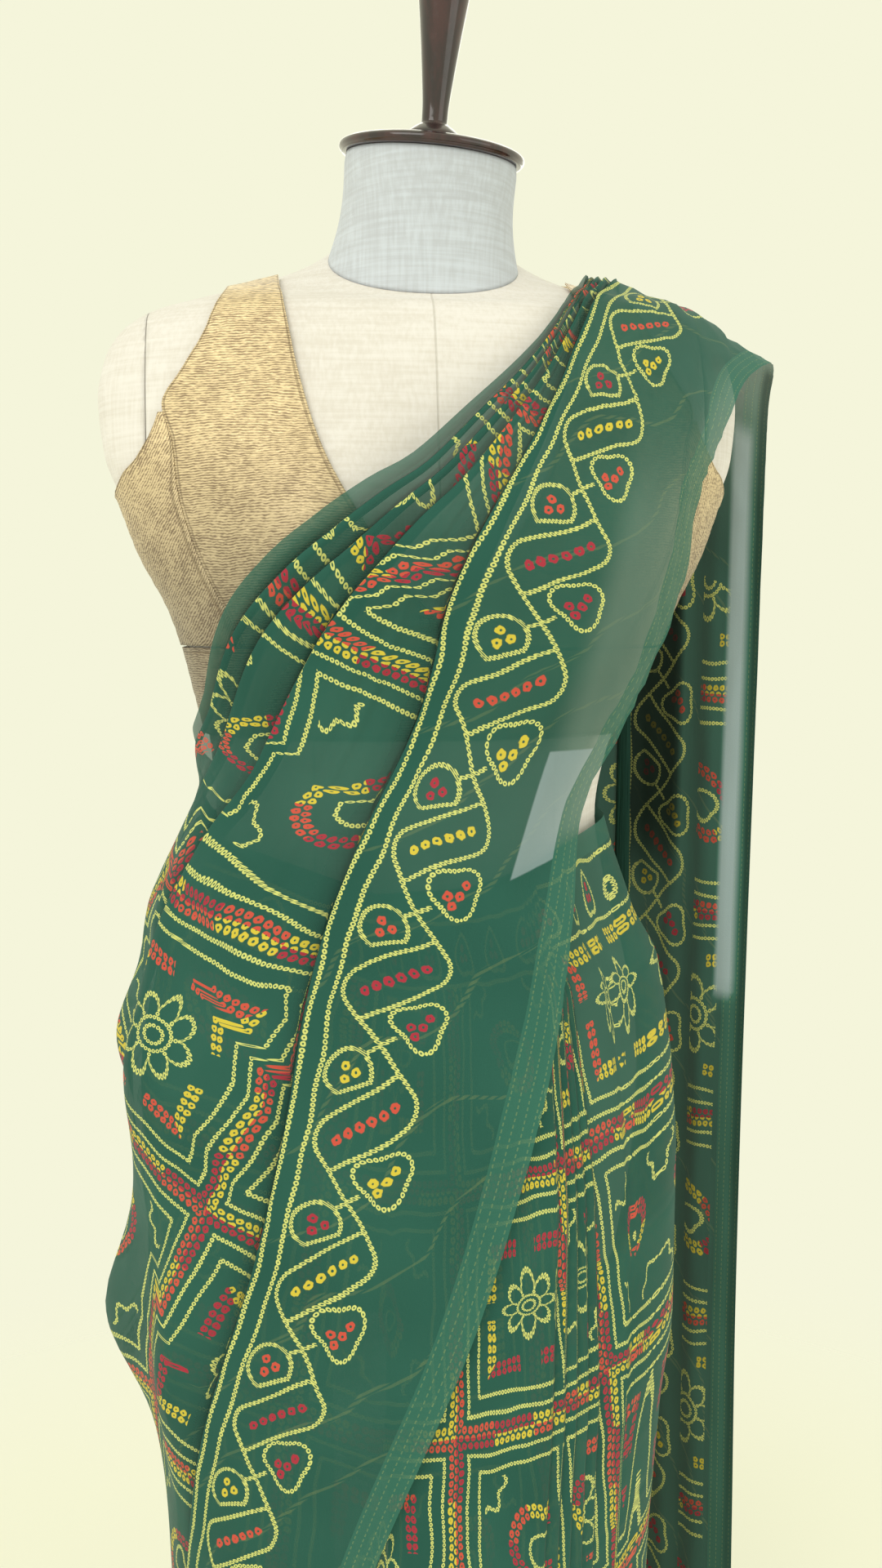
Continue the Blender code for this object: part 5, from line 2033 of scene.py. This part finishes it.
@dataclass(frozen=True)
class Georgette:
    """Sheer green crepe with a tie-dye print of traditional borders, frames and flowers."""

    name: str = "green_georgette"
    vine: VineBorder = VineBorder()
    frames: FramedField = FramedField()
    top: TopBorder = TopBorder()
    ground: Colour = (0.019, 0.098, 0.078)
    ground_light: Colour = (0.034, 0.145, 0.114)
    band: Colour = (0.050, 0.190, 0.143)
    chain: Colour = (0.760, 0.780, 0.240)
    bare: Colour = (0.385, 0.490, 0.550)
    veil: Colour = (0.225, 0.318, 0.275)
    # Colour of the painted shade: shadows beside the folds and the shade of the fall behind the shoulder.
    deep: Colour = (0.006, 0.012, 0.009)
    tints: tuple[Colour, ...] = ((0.740, 0.590, 0.060), (0.680, 0.090, 0.060), (0.450, 0.030, 0.060))
    chain_pitch: float = 0.0034
    chain_edge: Pair = (0.00170, 0.00140)
    chain_eye: Pair = (0.00035, 0.00080)
    knot_edge: Pair = (0.00330, 0.00275)
    knot_eye: Pair = (0.00055, 0.00105)
    selvage: float = 0.0240
    upper_selvage: float = 1.1010
    stitch_rows: float = 0.0062
    stitch_length: float = 0.0042
    ghost_width: float = 0.30
    ghost_rows: float = 0.052
    ghost_dots: float = 0.0046
    pane_top: Pair = (1.0970, 1.0985)
    veil_top: Pair = (1.330, 1.200)
    front_y: float = -0.05

    def make(self) -> Material:
        """Builds the material on the cloth's own coordinates."""
        nodes = Nodes(self.name)
        u, v = nodes.uv("cloth")
        place = nodes.join(u, v)
        by_hand_u = u + (nodes.noise(place, 26.0, 0.0, axes="2D") - 0.5) * 0.0060
        by_hand_v = v + (nodes.noise(nodes.join(v, u), 30.0, 0.0, axes="2D") - 0.5) * 0.0050
        line, knots = self.vine.draw(by_hand_u, by_hand_v)
        for part in (self.frames, self.top):
            more_line, more_knots = part.draw(by_hand_u, by_hand_v)
            line, knots = line.nearer(more_line), knots.nearer(more_knots)
        shown = 1.0 - (nodes.attribute("tucked") > 0.5)
        self._dress(nodes, u, v, line.within(shown), knots.within(shown))
        return nodes.material

    def _dress(self, nodes: Nodes, u: Socket, v: Socket, line: Track, knots: Knots) -> None:
        """Turns the print's lines and dots into colour, sheerness, gloss and relief, and paints in the shade.

        Args:
            nodes: The material's nodes.
            u: Place along the cloth.
            v: Place across it.
            line: The chains.
            knots: The large dots.
        """
        place = nodes.join(u, v)
        chain, knot = self._ink(nodes, place, line, knots)
        edge = (v < self.selvage).most((v > self.upper_selvage) * 0.55)
        pane, veil = self._panes(nodes, v)
        tone = nodes.attribute("tone")
        pale = tone.most(pane)
        inked = chain * (1.0 - pale * 0.85)
        colour = nodes.blend(veil, self._cloth_colour(nodes, u, v, edge), self.veil)
        colour = nodes.blend(inked * 0.93, colour, self.chain)
        colour = nodes.blend(knot * 0.95 * (1.0 - pale), colour, self._tint(nodes, knots))
        colour = nodes.blend(pale * 0.94, colour, self.bare)
        # Painted shade: the folds' shadows from the shade attribute, and the fall's shade from tone, where
        # some print still shows.
        shade = (nodes.attribute("shade") * 0.55).most(tone * (inked * 0.25 - 0.97))
        colour = nodes.blend(shade, colour, self.deep)
        inked = inked.most(knot)
        crepe = nodes.noise(place, 900.0, 0.0, axes="2D")
        rumple = nodes.noise(nodes.stretched(place, (16.0, 60.0, 1.0)), 1.0, 0.0, axes="2D")
        sheer = 0.190 - inked * 0.13 + edge * -0.03
        hole = (sheer ** nodes.attribute("layers")) * (1.0 + tone.least(0.0))
        nodes.set(Base_Color=colour, Roughness=0.74 - inked * 0.06, Alpha=1.0 - hole, Sheen_Weight=0.05,
                  Sheen_Roughness=0.45, Specular_IOR_Level=0.15,
                  Normal=nodes.bump(crepe * 0.08 + rumple * 1.5, 0.0016, 0.6))
        nodes.material.use_transparent_shadow = False

    def _ink(self, nodes: Nodes, place: Socket, line: Track, knots: Knots) -> tuple[Socket, Socket]:
        """The rings of ink that a line and large dots are printed as.

        Args:
            nodes: The material's nodes.
            place: Place on the cloth.
            line: The chains.
            knots: The large dots.

        Returns:
            One on the small rings, and one on the large rings.
        """
        blot = nodes.noise(place, 420.0, 0.0, axes="2D") - 0.5
        cell = line.run * (1.0 / self.chain_pitch)
        step = (cell - cell.round()) * self.chain_pitch
        ring = (step * step + line.away * line.away).sqrt() + blot * 0.0005
        spot = knots.away + blot * 0.0012
        return (ring.step(*self.chain_edge) * ring.step(*self.chain_eye),
                spot.step(*self.knot_edge) * spot.step(*self.knot_eye))

    def _tint(self, nodes: Nodes, knots: Knots) -> Socket:
        """The colour of the large dots."""
        tint = nodes.blend(knots.tint > 0.5, self.tints[0], self.tints[1])
        return nodes.blend(knots.tint > 1.5, tint, self.tints[2])

    def _cloth_colour(self, nodes: Nodes, u: Socket, v: Socket, edge: Socket) -> Socket:
        """The cloth's own colour, with its selvages, their stitches and the print that shines through.

        Args:
            nodes: The material's nodes.
            u: Place along the cloth.
            v: Place across it.
            edge: How far the cloth is doubled at a selvage.

        Returns:
            The colour.
        """
        cloud = nodes.noise(nodes.join(u, v), 11.0, 1.0, axes="2D")
        colour = nodes.blend(cloud, self.ground, self.ground_light)
        colour = nodes.blend(edge * 0.62, colour, self.band)
        stitch_row = abs((v * (1.0 / self.stitch_rows)) % 1.0 - 0.5) < 0.07
        stitch = stitch_row * (((u * (1.0 / self.stitch_length)) % 1.0) < 0.55)
        stitch = stitch * (v < self.selvage) * (v > 0.0020)
        colour = nodes.blend(stitch * 0.12, colour, self.chain)
        drift = (u * 0.62 + v * 0.78 + (cloud - 0.5) * 0.06) * (1.0 / self.ghost_rows)
        dotted = (((u + v) * (1.0 / self.ghost_dots)) % 1.0) < 0.62
        ghost = abs(drift - drift.round()).step(0.036, 0.020) * dotted
        ghost = ghost * (v < self.ghost_width) * (v > self.selvage)
        return nodes.blend(ghost * 0.07, colour, self.chain)

    def _panes(self, nodes: Nodes, v: Socket) -> tuple[Socket, Socket]:
        """Where one layer alone lies over the pale form at the waist, and over the blouse above it.

        Args:
            nodes: The material's nodes.
            v: Place across the cloth.

        Returns:
            How bare the cloth looks at the waist, and how veiled the blouse is.
        """
        x, y, z = nodes.split(nodes.object_place())
        front = (y < self.front_y) * (v > self.selvage)
        right_of_line = (x - z * 0.351 + 0.3171).step(0.0, 0.0015)
        above_line = (z - x * 0.350 - 1.0040).step(0.0, 0.0015)
        high = z.step(*self.pane_top)
        pane = front * right_of_line * above_line * (1.0 - high) * 0.66
        veil = front * high * (x - z * 0.228 + 0.1747).step(-0.012, 0.014) * z.step(*self.veil_top) * 0.45
        return pane, veil


def main() -> None:
    """Builds the whole scene in order."""
    logging.basicConfig(level=logging.INFO, format="%(name)s: %(message)s")
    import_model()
    Studio().build()
    form = FormShape()
    DressForm(form).build()
    Blouse(form).build(GoldCloth().make(), GoldCloth("gold_cloth_side", (0.86, 0.50)).make())
    Sari(Drape(form)).build(Georgette().make())


if __name__ == "__main__":
    main()
